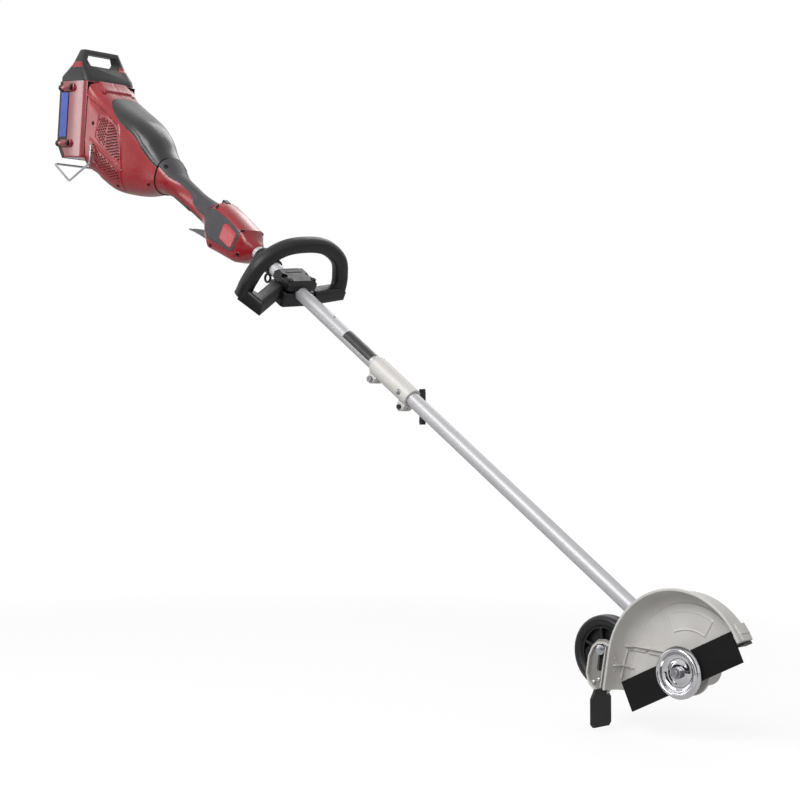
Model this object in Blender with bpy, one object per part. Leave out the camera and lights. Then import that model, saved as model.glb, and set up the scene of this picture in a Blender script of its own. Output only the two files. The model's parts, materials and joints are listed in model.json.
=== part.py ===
"""Cordless lawn edger: power head, battery, shaft, D-handle, coupler and guarded edging head.

Tool frame: +X runs down the shaft to the tip, +Y is the operator's left, +Z is up from the shaft.
The tool frame is turned by the shaft's slope, and the part's origin is the middle of the rear grip.
Lengths are in metres. Sections and outlines are listed in millimetres and scaled by MM.
"""
import math

import bpy
import bmesh
from mathutils import Vector

MM = 0.001

# Fits
GAP = 0.3 * MM
RUN = 0.1 * MM

# Shaft
SHAFT_SLOPE = math.radians(35.0)
TUBE_OD = 24.0 * MM
TUBE_WALL = 1.5 * MM
DRIVE_DIA = 7.0 * MM
BUSH_LENGTH = 20.0 * MM
LOWER_REACH = 666.0 * MM
COUPLER_LENGTH = 100.0 * MM
UPPER_REACH = 356.0 * MM
LABEL_LENGTH = 74.0 * MM
LABEL_OFFSET = 8.0 * MM
TUBE_PLUG_SHARE = 0.45
UPPER_TUBE_INSERT = 64.0 * MM

# Power head
POD_LENGTH = 136.0 * MM
GRIP_LENGTH = 138.0 * MM
GRIP_BALANCE = 10.0 * MM
SHELL_WALL = 2.5 * MM
COVER_WALL = 2.5 * MM
COVER_START = 2.0
COVER_EDGES = (29, 29, 29, 29, 29, 28, 26, 20, 15, 15, 15)
OVERMOULD_WALL = 1.6 * MM
OVERMOULD_EDGE = math.radians(5.0)
BAY_TILT = math.radians(29.0)
BAY_BACK = 238.0 * MM
BAY_DROP = 19.9 * MM
NECK_SLEEVE_WALL = 1.2 * MM
TRIGGER_WIDTH = 14.0 * MM
TRIGGER_PIN_R = 2.5 * MM
LOCKOUT_SIZE = (13.0 * MM, 12.0 * MM)
LOCKOUT_TOP = 32.0 * MM

# Vents in the housing's sides, the starts counted from the neck
VENT_ROWS = 5
VENT_COLUMNS = 4
VENT_PITCH = 11.0 * MM
VENT_SIZE = 3.6 * MM
VENT_UPPER = (-214.0 * MM, 8.0 * MM)
VENT_LOWER = (-186.0 * MM, -62.0 * MM)

# Battery
BATTERY_WIDTH = 115.0 * MM
BATTERY_DEPTH = 86.0 * MM
BATTERY_HEIGHT = 146.0 * MM
BATTERY_WALL = 3.0 * MM
CAP_HEIGHT = 62.0 * MM
BAY_HEIGHT = 154.0 * MM
BATTERY_LIFT = 8.0 * MM

# Motor
MOTOR_RADIUS = 36.0 * MM
MOTOR_LENGTH = 38.0 * MM
ROTOR_RADIUS = 21.0 * MM
MOTOR_AIR_GAP = 0.7 * MM
FAN_RADIUS = 33.0 * MM
MOTOR_PLATE_THICKNESS = 4.0 * MM

# Front handle
HANDLE_OFFSET = 111.0 * MM
HANDLE_ROLL = math.radians(6.0)
HANDLE_LEAN = math.radians(3.7)
CLAMP_LENGTH = 52.0 * MM
CLAMP_BOLT_DIA = 6.0 * MM
CLAMP_BOLT_SPAN = 52.0 * MM

# Wire stand
STAND_WIRE = 4.4 * MM

# Coupler
COUPLER_OD = 32.0 * MM
LUG_BOLT_DIA = 6.0 * MM
RELEASE_DIA = 9.0 * MM

# Edging head
BLADE_LENGTH = 201.0 * MM
BLADE_WIDTH = 44.0 * MM
BLADE_THICKNESS = 3.0 * MM
BLADE_ANGLE = math.radians(59.9)
BLADE_OFFSET = 39.4 * MM
BLADE_TIP_CLEARANCE = 4.5 * MM
SPINDLE_DIA = 10.0 * MM
CUP_RADIUS = 36.5 * MM
CUP_LIP_RADIUS = 31.0 * MM
CUP_DEPTH = 11.3 * MM
CUP_FLOOR = 4.3 * MM
GUARD_WALL = 3.0 * MM
GUARD_PLATE_OFFSET = 18.0 * MM
GUARD_RIM_OFFSET = 56.4 * MM
GUARD_START = math.radians(61.0)
GUARD_END = math.radians(205.0)
GUARD_DRAFT = 4.5 * MM
GUARD_EYE = 12.0 * MM
BOSS_RADIUS = 34.0 * MM
SKIRT_LENGTH = 55.0 * MM
SECTOR = (56.0 * MM, 83.0 * MM, math.radians(95.0), math.radians(149.0))

# Gearbox
GEARCASE_RADIUS = 24.0 * MM
CASE_BACK = -20.0 * MM
NECK_BACK = -84.0 * MM
NECK_WALL = 5.0 * MM
TUBE_SEAT = 44.0 * MM
PINION_TEETH = 10
GEAR_TEETH = 14
PINION_RADIUS = 8.0 * MM
PINION_DEPTH = 4.0 * MM
PINION_HUB = 21.0 * MM
PINION_HUB_R = 6.0 * MM
TOOTH_DEPTH = 1.3 * MM
BEARING_R = 9.5 * MM

# Wheel
WHEEL_RADIUS = 54.0 * MM
WHEEL_WIDTH = 30.0 * MM
WHEEL_OFFSET = 10.0 * MM
AXLE_DIA = 10.0 * MM
WHEEL_BACK = 149.0 * MM
WHEEL_DROP = 94.5 * MM
WHEEL_TRAVEL = 28.0 * MM
BRACKET_THICKNESS = 4.0 * MM
ARM_THICKNESS = 6.0 * MM
HEIGHT_BOLT_R = 4.0 * MM
SLOT_R, SLOT_T = 154.0 * MM, 10.6 * MM

# Debris flap
FLAP_WIDTH = 44.0 * MM
FLAP_HEIGHT = 54.0 * MM
FLAP_THICKNESS = 4.0 * MM
FLAP_SIDE = 28.5 * MM

# Stations along the shaft, counted from the blade's axis
COUPLER_FRONT = -LOWER_REACH
COUPLER_BACK = COUPLER_FRONT - COUPLER_LENGTH
POD_FRONT = COUPLER_BACK - UPPER_REACH
POD_BACK = POD_FRONT - POD_LENGTH
NECK = POD_BACK - GRIP_LENGTH
GRIP_MIDDLE = POD_BACK - GRIP_LENGTH / 2 + GRIP_BALANCE
HANDLE_X = POD_FRONT + HANDLE_OFFSET
TUBE_R = TUBE_OD / 2
DRIVE_R = DRIVE_DIA / 2
TUBE_JOINT = COUPLER_FRONT - COUPLER_LENGTH * TUBE_PLUG_SHARE
COUPLER_BORE = TUBE_R + GAP
UPPER_TUBE_BACK = POD_FRONT - UPPER_TUBE_INSERT

# Places in the power head
TRIGGER_PIVOT = (POD_BACK + 26.0 * MM, -25.0 * MM)
LOCKOUT_X = POD_BACK + 13.0 * MM
STAND_SIDE = BATTERY_WIDTH / 2
STAND_R = STAND_WIRE / 2
STAND_ROOT = (NECK - 194.0 * MM, -46.0 * MM)
MOTOR_PLATE_FRONT = NECK - 133.0 * MM

# Places on the coupler
LUG_X = (COUPLER_BACK + 12.0 * MM, COUPLER_FRONT - 8.0 * MM)
LUG_Z = -COUPLER_OD / 2 - 4.5 * MM
LUG_SIDE = 11.0 * MM
RELEASE_X = COUPLER_FRONT - 20.0 * MM

# Places in the edging head, counted outwards from the shaft's plane
GEAR_RADIUS = PINION_RADIUS * GEAR_TEETH / PINION_TEETH
PINION_FACE = GEAR_RADIUS
NECK_R = TUBE_R + NECK_WALL
LOWER_TUBE_FRONT = NECK_BACK + TUBE_SEAT
CASE_FRONT = GUARD_PLATE_OFFSET - GAP
SPINDLE_R = SPINDLE_DIA / 2
BLADE_TIP_RADIUS = math.hypot(BLADE_LENGTH / 2, BLADE_WIDTH / 2)
WALL_RADIUS = BLADE_TIP_RADIUS + BLADE_TIP_CLEARANCE
BRACKET_FRONT = GUARD_PLATE_OFFSET - GAP
BRACKET_BACK = BRACKET_FRONT - BRACKET_THICKNESS
ARM_FRONT = BRACKET_BACK - GAP
ARM_BACK = ARM_FRONT - ARM_THICKNESS

TURNED_SEGMENTS = 24
HALF_STEPS = 12
SIDE = (math.pi / 2, 0.0, 0.0)
ALONG = (0.0, math.pi / 2, 0.0)


def clear_scene():
    for obj in list(bpy.data.objects):
        bpy.data.objects.remove(obj, do_unlink=True)


# Materials
PALETTE = {
    "red_shell": ((0.33, 0.016, 0.024), 0.38, 0.0),
    "dark_shell": ((0.045, 0.046, 0.05), 0.5, 0.0),
    "black_plastic": ((0.016, 0.016, 0.017), 0.55, 0.0),
    "grey_plastic": ((0.19, 0.19, 0.2), 0.5, 0.0),
    "blue_panel": ((0.05, 0.12, 0.45), 0.4, 0.0),
    "rubber": ((0.012, 0.012, 0.012), 0.8, 0.0),
    "tube_metal": ((0.72, 0.72, 0.73), 0.3, 1.0),
    "cast_metal": ((0.55, 0.54, 0.51), 0.45, 0.6),
    "bright_steel": ((0.75, 0.75, 0.76), 0.15, 1.0),
    "steel": ((0.45, 0.45, 0.46), 0.35, 1.0),
    "blade_steel": ((0.01, 0.01, 0.011), 0.4, 0.3),
    "copper": ((0.55, 0.22, 0.1), 0.35, 1.0),
    "board_green": ((0.02, 0.12, 0.05), 0.5, 0.0),
}


def finish_named(name):
    """Return the named finish as a Principled material, made the first time it is asked for."""
    known = bpy.data.materials.get(name)
    if known:
        return known
    color, roughness, metallic = PALETTE[name]
    made = bpy.data.materials.new(name)
    made.use_nodes = True
    shader = made.node_tree.nodes["Principled BSDF"]
    shader.inputs["Base Color"].default_value = (*color, 1.0)
    shader.inputs["Roughness"].default_value = roughness
    shader.inputs["Metallic"].default_value = metallic
    made.diffuse_color = (*color, 1.0)
    return made


# Objects
def frame(name, parent=None, location=(0.0, 0.0, 0.0), rotation=(0.0, 0.0, 0.0), order="XYZ"):
    """Add an empty that other objects are placed in."""
    empty = bpy.data.objects.new(name, None)
    bpy.context.collection.objects.link(empty)
    empty.parent = parent
    empty.location = location
    empty.rotation_mode = order
    empty.rotation_euler = rotation
    return empty


def solid(name, shape, finish, parent, location=(0.0, 0.0, 0.0), rotation=(0.0, 0.0, 0.0)):
    """Add a mesh object from (points, faces), with its faces pointing out and its corners sharp."""
    points, faces = shape
    mesh = bpy.data.meshes.new(name)
    mesh.from_pydata([tuple(p) for p in points], [], faces)
    work = bmesh.new()
    work.from_mesh(mesh)
    bmesh.ops.recalc_face_normals(work, faces=work.faces)
    work.to_mesh(mesh)
    work.free()
    mesh.shade_smooth()
    mesh.set_sharp_from_angle(angle=math.radians(35.0))
    obj = bpy.data.objects.new(name, mesh)
    bpy.context.collection.objects.link(obj)
    if finish:
        mesh.materials.append(finish_named(finish))
    obj.parent = parent
    obj.location = location
    obj.rotation_euler = rotation
    return obj


def combine(obj, tool, operation):
    """Join or cut obj with a tool object, which is then only a guide."""
    tool.hide_render = True
    tool.display_type = "WIRE"
    step = obj.modifiers.new(operation.lower() + "_" + tool.name, "BOOLEAN")
    step.operation = operation
    step.solver = "EXACT"
    step.object = tool


def cut(obj, *tools):
    for tool in tools:
        combine(obj, tool, "DIFFERENCE")


def join(obj, *tools):
    for tool in tools:
        combine(obj, tool, "UNION")


# Shapes, each a list of points and a list of faces
def turned(profile, segments=TURNED_SEGMENTS, ring=False):
    """Turn (radius, height) pairs about Z. A ring joins its last pair to its first."""
    points, rows = [], []
    for radius, height in profile:
        if radius == 0.0:
            rows.append([len(points)] * segments)
            points.append((0.0, 0.0, height))
            continue
        rows.append(list(range(len(points), len(points) + segments)))
        for k in range(segments):
            turn = 2 * math.pi * k / segments
            points.append((radius * math.cos(turn), radius * math.sin(turn), height))
    pairs = list(zip(rows, rows[1:]))
    if ring:
        pairs.append((rows[-1], rows[0]))
    faces = []
    for low, high in pairs:
        for k in range(segments):
            n = (k + 1) % segments
            face = list(dict.fromkeys((low[k], low[n], high[n], high[k])))
            if len(face) > 2:
                faces.append(face)
    return points, faces


def rod(radius, length, chamfer=0.0, segments=TURNED_SEGMENTS):
    """Round bar from height 0 up."""
    if chamfer:
        return turned([(0.0, 0.0), (radius - chamfer, 0.0), (radius, chamfer),
                       (radius, length - chamfer), (radius - chamfer, length), (0.0, length)], segments)
    return turned([(0.0, 0.0), (radius, 0.0), (radius, length), (0.0, length)], segments)


def pipe(outer, inner, length, segments=TURNED_SEGMENTS):
    """Round pipe from height 0 up."""
    return turned([(inner, 0.0), (outer, 0.0), (outer, length), (inner, length)], segments, ring=True)


def skin(rings, closed_ends=True):
    """Join equal rings of points into one closed body."""
    count = len(rings[0])
    points = [p for ring in rings for p in ring]
    faces = []
    for r in range(len(rings) - 1):
        for k in range(count):
            n = (k + 1) % count
            faces.append((r * count + k, r * count + n, (r + 1) * count + n, (r + 1) * count + k))
    last = (len(rings) - 1) * count
    if closed_ends:
        faces.append(tuple(reversed(range(count))))
        faces.append(tuple(range(last, last + count)))
    else:
        for k in range(count):
            n = (k + 1) % count
            faces.append((last + k, last + n, n, k))
    return points, faces


def prism(outline, low, high, chamfer=0.0):
    """Extrude an outline of (x, y) pairs from height low to high, with an optional edge chamfer."""
    if not chamfer:
        return skin([[(x, y, low) for x, y in outline], [(x, y, high) for x, y in outline]])
    small = inset(outline, chamfer)
    return skin([[(x, y, low) for x, y in small], [(x, y, low + chamfer) for x, y in outline],
                 [(x, y, high - chamfer) for x, y in outline], [(x, y, high) for x, y in small]])


def inset(outline, distance):
    """Move every side of an anticlockwise outline inwards by one distance."""
    moved = []
    count = len(outline)
    for k in range(count):
        before, here, after = (Vector(outline[(k + d) % count]) for d in (-1, 0, 1))
        first = (here - before).normalized()
        second = (after - here).normalized()
        normal_a = Vector((-first.y, first.x))
        normal_b = Vector((-second.y, second.x))
        middle = (normal_a + normal_b).normalized()
        moved.append(tuple(here + middle * distance / max(middle.dot(normal_a), 0.5)))
    return moved


def rounded(x_low, x_high, y_low, y_high, radii, steps=4):
    """Rounded rectangle, anticlockwise from the low x, low y corner, with one radius a corner."""
    corners = [(x_low, y_low, 1, 1, 180), (x_high, y_low, -1, 1, 270),
               (x_high, y_high, -1, -1, 0), (x_low, y_high, 1, -1, 90)]
    outline = []
    for (x, y, sx, sy, start), radius in zip(corners, radii):
        for k in range(steps + 1):
            turn = math.radians(start + 90.0 * k / steps)
            outline.append((x + sx * radius + radius * math.cos(turn),
                            y + sy * radius + radius * math.sin(turn)))
    return outline


def block(x_low, x_high, y_low, y_high, z_low, z_high, radius=0.0, chamfer=0.0):
    """Box between two corners, with optional round upright edges and chamfered ends."""
    if radius:
        outline = rounded(x_low, x_high, y_low, y_high, (radius,) * 4, 3)
    else:
        outline = [(x_low, y_low), (x_high, y_low), (x_high, y_high), (x_low, y_high)]
    return prism(outline, z_low, z_high, chamfer)


def arc(center, radius, start, stop, steps):
    """Points on an arc, angles in radians."""
    return [(center[0] + radius * math.cos(start + (stop - start) * k / steps),
             center[1] + radius * math.sin(start + (stop - start) * k / steps)) for k in range(steps + 1)]


def softened(corners, radius, steps=4):
    """Replace each inner corner of a path by an arc of the given radius."""
    path = [Vector(corners[0])]
    for before, here, after in zip(corners, corners[1:], corners[2:]):
        before, here, after = Vector(before), Vector(here), Vector(after)
        one = (before - here).normalized()
        two = (after - here).normalized()
        half = one.angle(two) / 2
        reach = min(radius / math.tan(half), 0.49 * (before - here).length, 0.49 * (after - here).length)
        bisector = (one + two).normalized()
        center = here + bisector * (reach / math.cos(half))
        start, stop = here + one * reach - center, here + two * reach - center
        for k in range(steps + 1):
            path.append(center + start.slerp(stop, k / steps, stop).normalized() * start.length)
    path.append(Vector(corners[-1]))
    return path


def along_path(path, section, up):
    """Carry a section of (side, up) pairs along a path, mitred at each bend."""
    rings = []
    for k, here in enumerate(path):
        ahead = path[min(k + 1, len(path) - 1)]
        behind = path[max(k - 1, 0)]
        run_in = (here - behind).normalized() if k else (ahead - here).normalized()
        run_out = (ahead - here).normalized() if k < len(path) - 1 else run_in
        tangent = (run_in + run_out).normalized()
        side = tangent.cross(up).normalized()
        rise = side.cross(tangent).normalized()
        rings.append([tuple(here + side * a + rise * b) for a, b in section])
    return skin(rings)


def round_section(half_side, half_up, count=16):
    return [(half_side * math.cos(2 * math.pi * k / count), half_up * math.sin(2 * math.pi * k / count))
            for k in range(count)]


# Lofted shells
class Loft:
    """A body through upright sections, each (bottom x, z, top x, z, half width, squareness) in mm."""

    def __init__(self, sections, origin_x):
        self.sections = sections
        self.origin_x = origin_x

    def at(self, place, inset_by=0.0):
        """Section at a real-numbered place, by a smooth curve through the listed ones."""
        last = len(self.sections) - 1
        k = min(int(place), last - 1)
        t = place - k
        rows = [self.sections[min(max(k + d, 0), last)] for d in (-1, 0, 1, 2)]
        values = []
        for a, b, c, d in zip(*rows):
            values.append(0.5 * (2 * b + (c - a) * t + (2 * a - 5 * b + 4 * c - d) * t * t
                                 + (3 * b - a - 3 * c + d) * t ** 3))
        bottom = Vector((values[0] * MM + self.origin_x, values[1] * MM))
        top = Vector((values[2] * MM + self.origin_x, values[3] * MM))
        middle = (bottom + top) / 2
        rise = (top - bottom).normalized()
        half_height = (top - bottom).length / 2 - inset_by
        return middle, rise, half_height, values[4] * MM - inset_by, values[5]

    def point(self, place, angle, inset_by=0.0, shift=0.0):
        """Point on the section at an angle, -90 degrees the bottom, 0 the right side, 90 the top."""
        middle, rise, half_height, half_width, square = self.at(place, inset_by)
        c, s = math.cos(angle), math.sin(angle)
        wide = half_width * abs(c) ** (2 / square)
        tall = half_height * math.copysign(abs(s) ** (2 / square), s)
        if c < 0:
            wide = -wide
        where = middle + rise * tall
        return Vector((where.x + shift, -wide, where.y))

    def facet_point(self, place, angle, inset_by=0.0):
        """Point at an angle on the straight facets between the shells' own angles."""
        step = math.pi / HALF_STEPS
        low = math.floor(angle / step + 1e-9)
        share = angle / step - low
        return self.point(place, low * step, inset_by).lerp(self.point(place, (low + 1) * step, inset_by),
                                                            share)

    def half_ring(self, place, side, steps, inset_by=0.0, shift=0.0, seam=GAP / 2):
        """Half a section, from its bottom to its top, on side 1 (right) or -1 (left)."""
        ring = []
        for k in range(steps + 1):
            p = self.point(place, -math.pi / 2 + math.pi * k / steps, inset_by, shift)
            ring.append((p.x, side * min(p.y, -seam), p.z))
        return ring

    def station(self, x):
        """Place whose section crosses the shaft's axis at x, for the upright sections."""
        low, high = 0.0, float(len(self.sections) - 1)
        for _ in range(40):
            mid = (low + high) / 2
            if self.at(mid)[0].x < x:
                low = mid
            else:
                high = mid
        return (low + high) / 2


def half_shell(outer, inner, closed_back):
    """One half of a hollow body from matching outer and inner half rings, back to front."""
    count = len(outer[0])
    points = [p for ring in outer + inner for p in ring]
    rows = len(outer)
    shift = rows * count
    faces = []
    for r in range(rows - 1):
        for k in range(count - 1):
            a, b = r * count + k, r * count + k + 1
            c, d = b + count, a + count
            faces.append((a, b, c, d))
            faces.append((shift + d, shift + c, shift + b, shift + a))
        for k in (0, count - 1):
            a, b = r * count + k, (r + 1) * count + k
            faces.append((a, b, shift + b, shift + a))
    front = (rows - 1) * count
    for k in range(count - 1):
        faces.append((front + k, front + k + 1, shift + front + k + 1, shift + front + k))
    if closed_back:
        faces.append(tuple(range(count)))
        faces.append(tuple(shift + k for k in reversed(range(count))))
        faces.append((0, shift, shift + count - 1, count - 1))
    else:
        for k in range(count - 1):
            faces.append((k, k + 1, shift + k + 1, shift + k))
    return points, faces


def saddle(loft, places, edges, offset, thickness):
    """A curved cover over a loft: edges gives each place the angle of its lower edge, on both sides.

    Between the edges the cover follows the same facets as the shells below it.
    """
    step = math.pi / HALF_STEPS
    first = math.floor(min(edges) / step + 1.0 + 1e-6)
    between = [k * step for k in range(first, HALF_STEPS - first + 1)]
    outer, inner = [], []
    for place, edge in zip(places, edges):
        angles = [edge] + between + [math.pi - edge]
        outer.append([tuple(loft.facet_point(place, angle, -offset - thickness)) for angle in angles])
        inner.append([tuple(loft.facet_point(place, angle, -offset)) for angle in angles])
    rings = [high + low[::-1] for high, low in zip(outer, inner)]
    return skin(rings)


# Power head shells
def bay_point(forward, up):
    """Tool-frame x and z of a point given in the battery bay's frame."""
    return (NECK - BAY_BACK + forward * math.cos(BAY_TILT) - up * math.sin(BAY_TILT),
            -BAY_DROP + forward * math.sin(BAY_TILT) + up * math.cos(BAY_TILT))


def housing_loft():
    low_x, low_z = bay_point(0.0, -BAY_HEIGHT / 2)
    high_x, high_z = bay_point(0.0, BAY_HEIGHT / 2)
    bay_half = BATTERY_WIDTH / 2 / MM - 1.5
    bay = ((low_x - NECK) / MM, low_z / MM, (high_x - NECK) / MM, high_z / MM, bay_half, 7.0)
    return Loft([
        bay,
        (-194.0, -98.0, -248.0, 42.0, bay_half - 0.5, 5.0),
        (-174.0, -99.0, -207.0, 40.0, 54.0, 3.8),
        (-154.0, -102.0, -154.0, 43.0, 52.0, 3.4),
        (-116.0, -100.0, -116.0, 44.0, 49.0, 3.0),
        (-79.0, -87.0, -79.0, 38.0, 43.0, 2.7),
        (-44.0, -69.0, -44.0, 24.0, 36.0, 2.4),
        (0.0, -38.0, 0.0, 12.0, 30.0, 2.2),
    ], NECK)


def grip_loft():
    grip_end = GRIP_LENGTH / MM
    pod_end = grip_end + POD_LENGTH / MM
    return Loft([
        (2.0, -37.0, 2.0, 10.0, 28.5, 2.2),
        (14.0, -36.0, 14.0, 8.0, 25.0, 2.2),
        (30.0, -32.0, 30.0, 8.0, 19.0, 2.2),
        (52.0, -31.5, 52.0, 8.0, 16.5, 2.3),
        (grip_end - 50.0, -30.5, grip_end - 50.0, 8.5, 16.0, 2.3),
        (grip_end - 16.0, -30.0, grip_end - 16.0, 12.5, 17.0, 2.4),
        (grip_end, -31.0, grip_end, 18.0, 21.0, 2.8),
        (grip_end + 16.0, -44.0, grip_end + 16.0, 31.0, 27.0, 3.2),
        (grip_end + 34.0, -54.0, grip_end + 34.0, 31.5, 28.5, 3.6),
        (grip_end + 58.0, -48.5, grip_end + 58.0, 30.5, 29.0, 3.6),
        (pod_end - 30.0, -39.0, pod_end - 30.0, 27.0, 28.5, 3.6),
        (pod_end - 17.0, -33.0, pod_end - 17.0, 17.0, 23.0, 3.2),
        (pod_end - 6.0, -22.0, pod_end - 6.0, 15.0, 17.0, 2.6),
    ], NECK)


HOUSING = housing_loft()
GRIP = grip_loft()


def loft_places(loft, fill):
    """Places of all listed sections, with extra ones between them."""
    last = len(loft.sections) - 1
    return [k / fill for k in range(last * fill + 1)]


def full_ring(loft, place, inset_by, shift=0.0, steps=HALF_STEPS):
    return [tuple(loft.point(place, -math.pi / 2 + math.pi * k / steps, inset_by, shift))
            for k in range(2 * steps)]


def flat_ring(loft, x, inset_by):
    """Section of a loft where it crosses the shaft's axis at x, laid flat in that upright plane."""
    return [(x, y, z) for _, y, z in full_ring(loft, loft.station(x), inset_by)]


def circle_ring(x, radius, steps=HALF_STEPS):
    """Ring about the shaft in step with full_ring."""
    ring = []
    for k in range(2 * steps):
        angle = -math.pi / 2 + math.pi * k / steps
        ring.append((x, -radius * math.cos(angle), radius * math.sin(angle)))
    return ring


def half_circle(x, radius, side, steps=HALF_STEPS):
    """Half ring about the shaft in step with Loft.half_ring."""
    ring = []
    for k in range(steps + 1):
        angle = -math.pi / 2 + math.pi * k / steps
        ring.append((x, side * min(-radius * math.cos(angle), -GAP / 2), radius * math.sin(angle)))
    return ring


NECK_STATIONS = ((HOUSING, 6.5), (HOUSING, 7.0), (GRIP, 0.0), (GRIP, 1.0))


def vent_cutter(name, side, tool):
    """Rows of six-sided holes, through one side wall of the housing."""
    points, faces = [], []
    for (start_x, start_z), rows in ((VENT_UPPER, VENT_ROWS), (VENT_LOWER, 2)):
        for row in range(rows):
            for column in range(VENT_COLUMNS):
                x = NECK + start_x + (column + 0.5 * (row % 2)) * VENT_PITCH + row * VENT_PITCH * 0.5
                z = start_z - row * VENT_PITCH * 0.87
                hole = [(x + px, z + pz) for px, pz in arc((0, 0), VENT_SIZE, 0, math.pi * 5 / 3, 5)]
                more, more_faces = prism(hole, 30 * MM, 80 * MM)
                base = len(points)
                points += [(px, -side * py, pz) for px, pz, py in more]
                faces += [[base + i for i in face] for face in more_faces]
    return solid(name, (points, faces), None, tool)


def housing_shell(name, side, tool):
    places = loft_places(HOUSING, 2)
    outer = [HOUSING.half_ring(p, side, HALF_STEPS) for p in places]
    back_shift = SHELL_WALL / math.cos(BAY_TILT)
    inner = [HOUSING.half_ring(p, side, HALF_STEPS, SHELL_WALL, back_shift if p == 0 else 0.0)
             for p in places]
    return solid(name, half_shell(outer, inner, closed_back=True), "red_shell", tool)


def grip_shell(name, side, tool):
    places = loft_places(GRIP, 1)
    outer = [GRIP.half_ring(p, side, HALF_STEPS) for p in places]
    inner = [GRIP.half_ring(p, side, HALF_STEPS, SHELL_WALL,
                            -SHELL_WALL if p == places[-1] else 0.0) for p in places]
    hole = TUBE_R + GAP
    outer.append(half_circle(POD_FRONT, hole, side))
    inner.append(half_circle(POD_FRONT - SHELL_WALL, hole, side))
    return solid(name, half_shell(outer, inner, closed_back=False), "red_shell", tool)


def power_head(tool):
    right = housing_shell("housing_right", 1, tool)
    left = housing_shell("housing_left", -1, tool)
    bay = frame("bay_frame", tool, (NECK - BAY_BACK, 0.0, -BAY_DROP), (0.0, -BAY_TILT, 0.0))
    terminal = (16.0 * MM, 24.0 * MM, 30.0 * MM)
    window = solid("terminal_window", block(-5 * MM, terminal[0], -terminal[1] - GAP, terminal[1] + GAP,
                                            -terminal[2] - GAP, terminal[2] + GAP), None, bay)
    solid("terminal_block", block(0.0, terminal[0], -terminal[1], terminal[1],
                                  -terminal[2], terminal[2], 0.0, 0.0), "black_plastic", bay)
    wire_hole = solid("wire_hole", rod(STAND_R + GAP, 2 * STAND_SIDE + 10 * MM, segments=16), None, tool,
                      (STAND_ROOT[0], -STAND_SIDE - 5 * MM, STAND_ROOT[1]), (-math.pi / 2, 0.0, 0.0))
    cut(right, window, wire_hole, vent_cutter("vents_right", 1, tool))
    cut(left, window, wire_hole, vent_cutter("vents_left", -1, tool))

    places = [COVER_START + k / 2 for k in range(len(COVER_EDGES))]
    edges = [math.radians(angle) for angle in COVER_EDGES]
    solid("top_cover", saddle(HOUSING, places, edges, GAP, COVER_WALL), "dark_shell", tool)

    sleeve_inset = SHELL_WALL + 2 * GAP
    neck_outer = [full_ring(loft, place, sleeve_inset) for loft, place in NECK_STATIONS]
    neck_inner = [full_ring(loft, place, sleeve_inset + NECK_SLEEVE_WALL) for loft, place in NECK_STATIONS]
    neck_rings = neck_outer + neck_inner[::-1]
    solid("neck_isolator", skin(neck_rings, closed_ends=False), "rubber", tool)
    grip_and_pod(tool)
    wire_stand(tool)
    return bay


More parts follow.
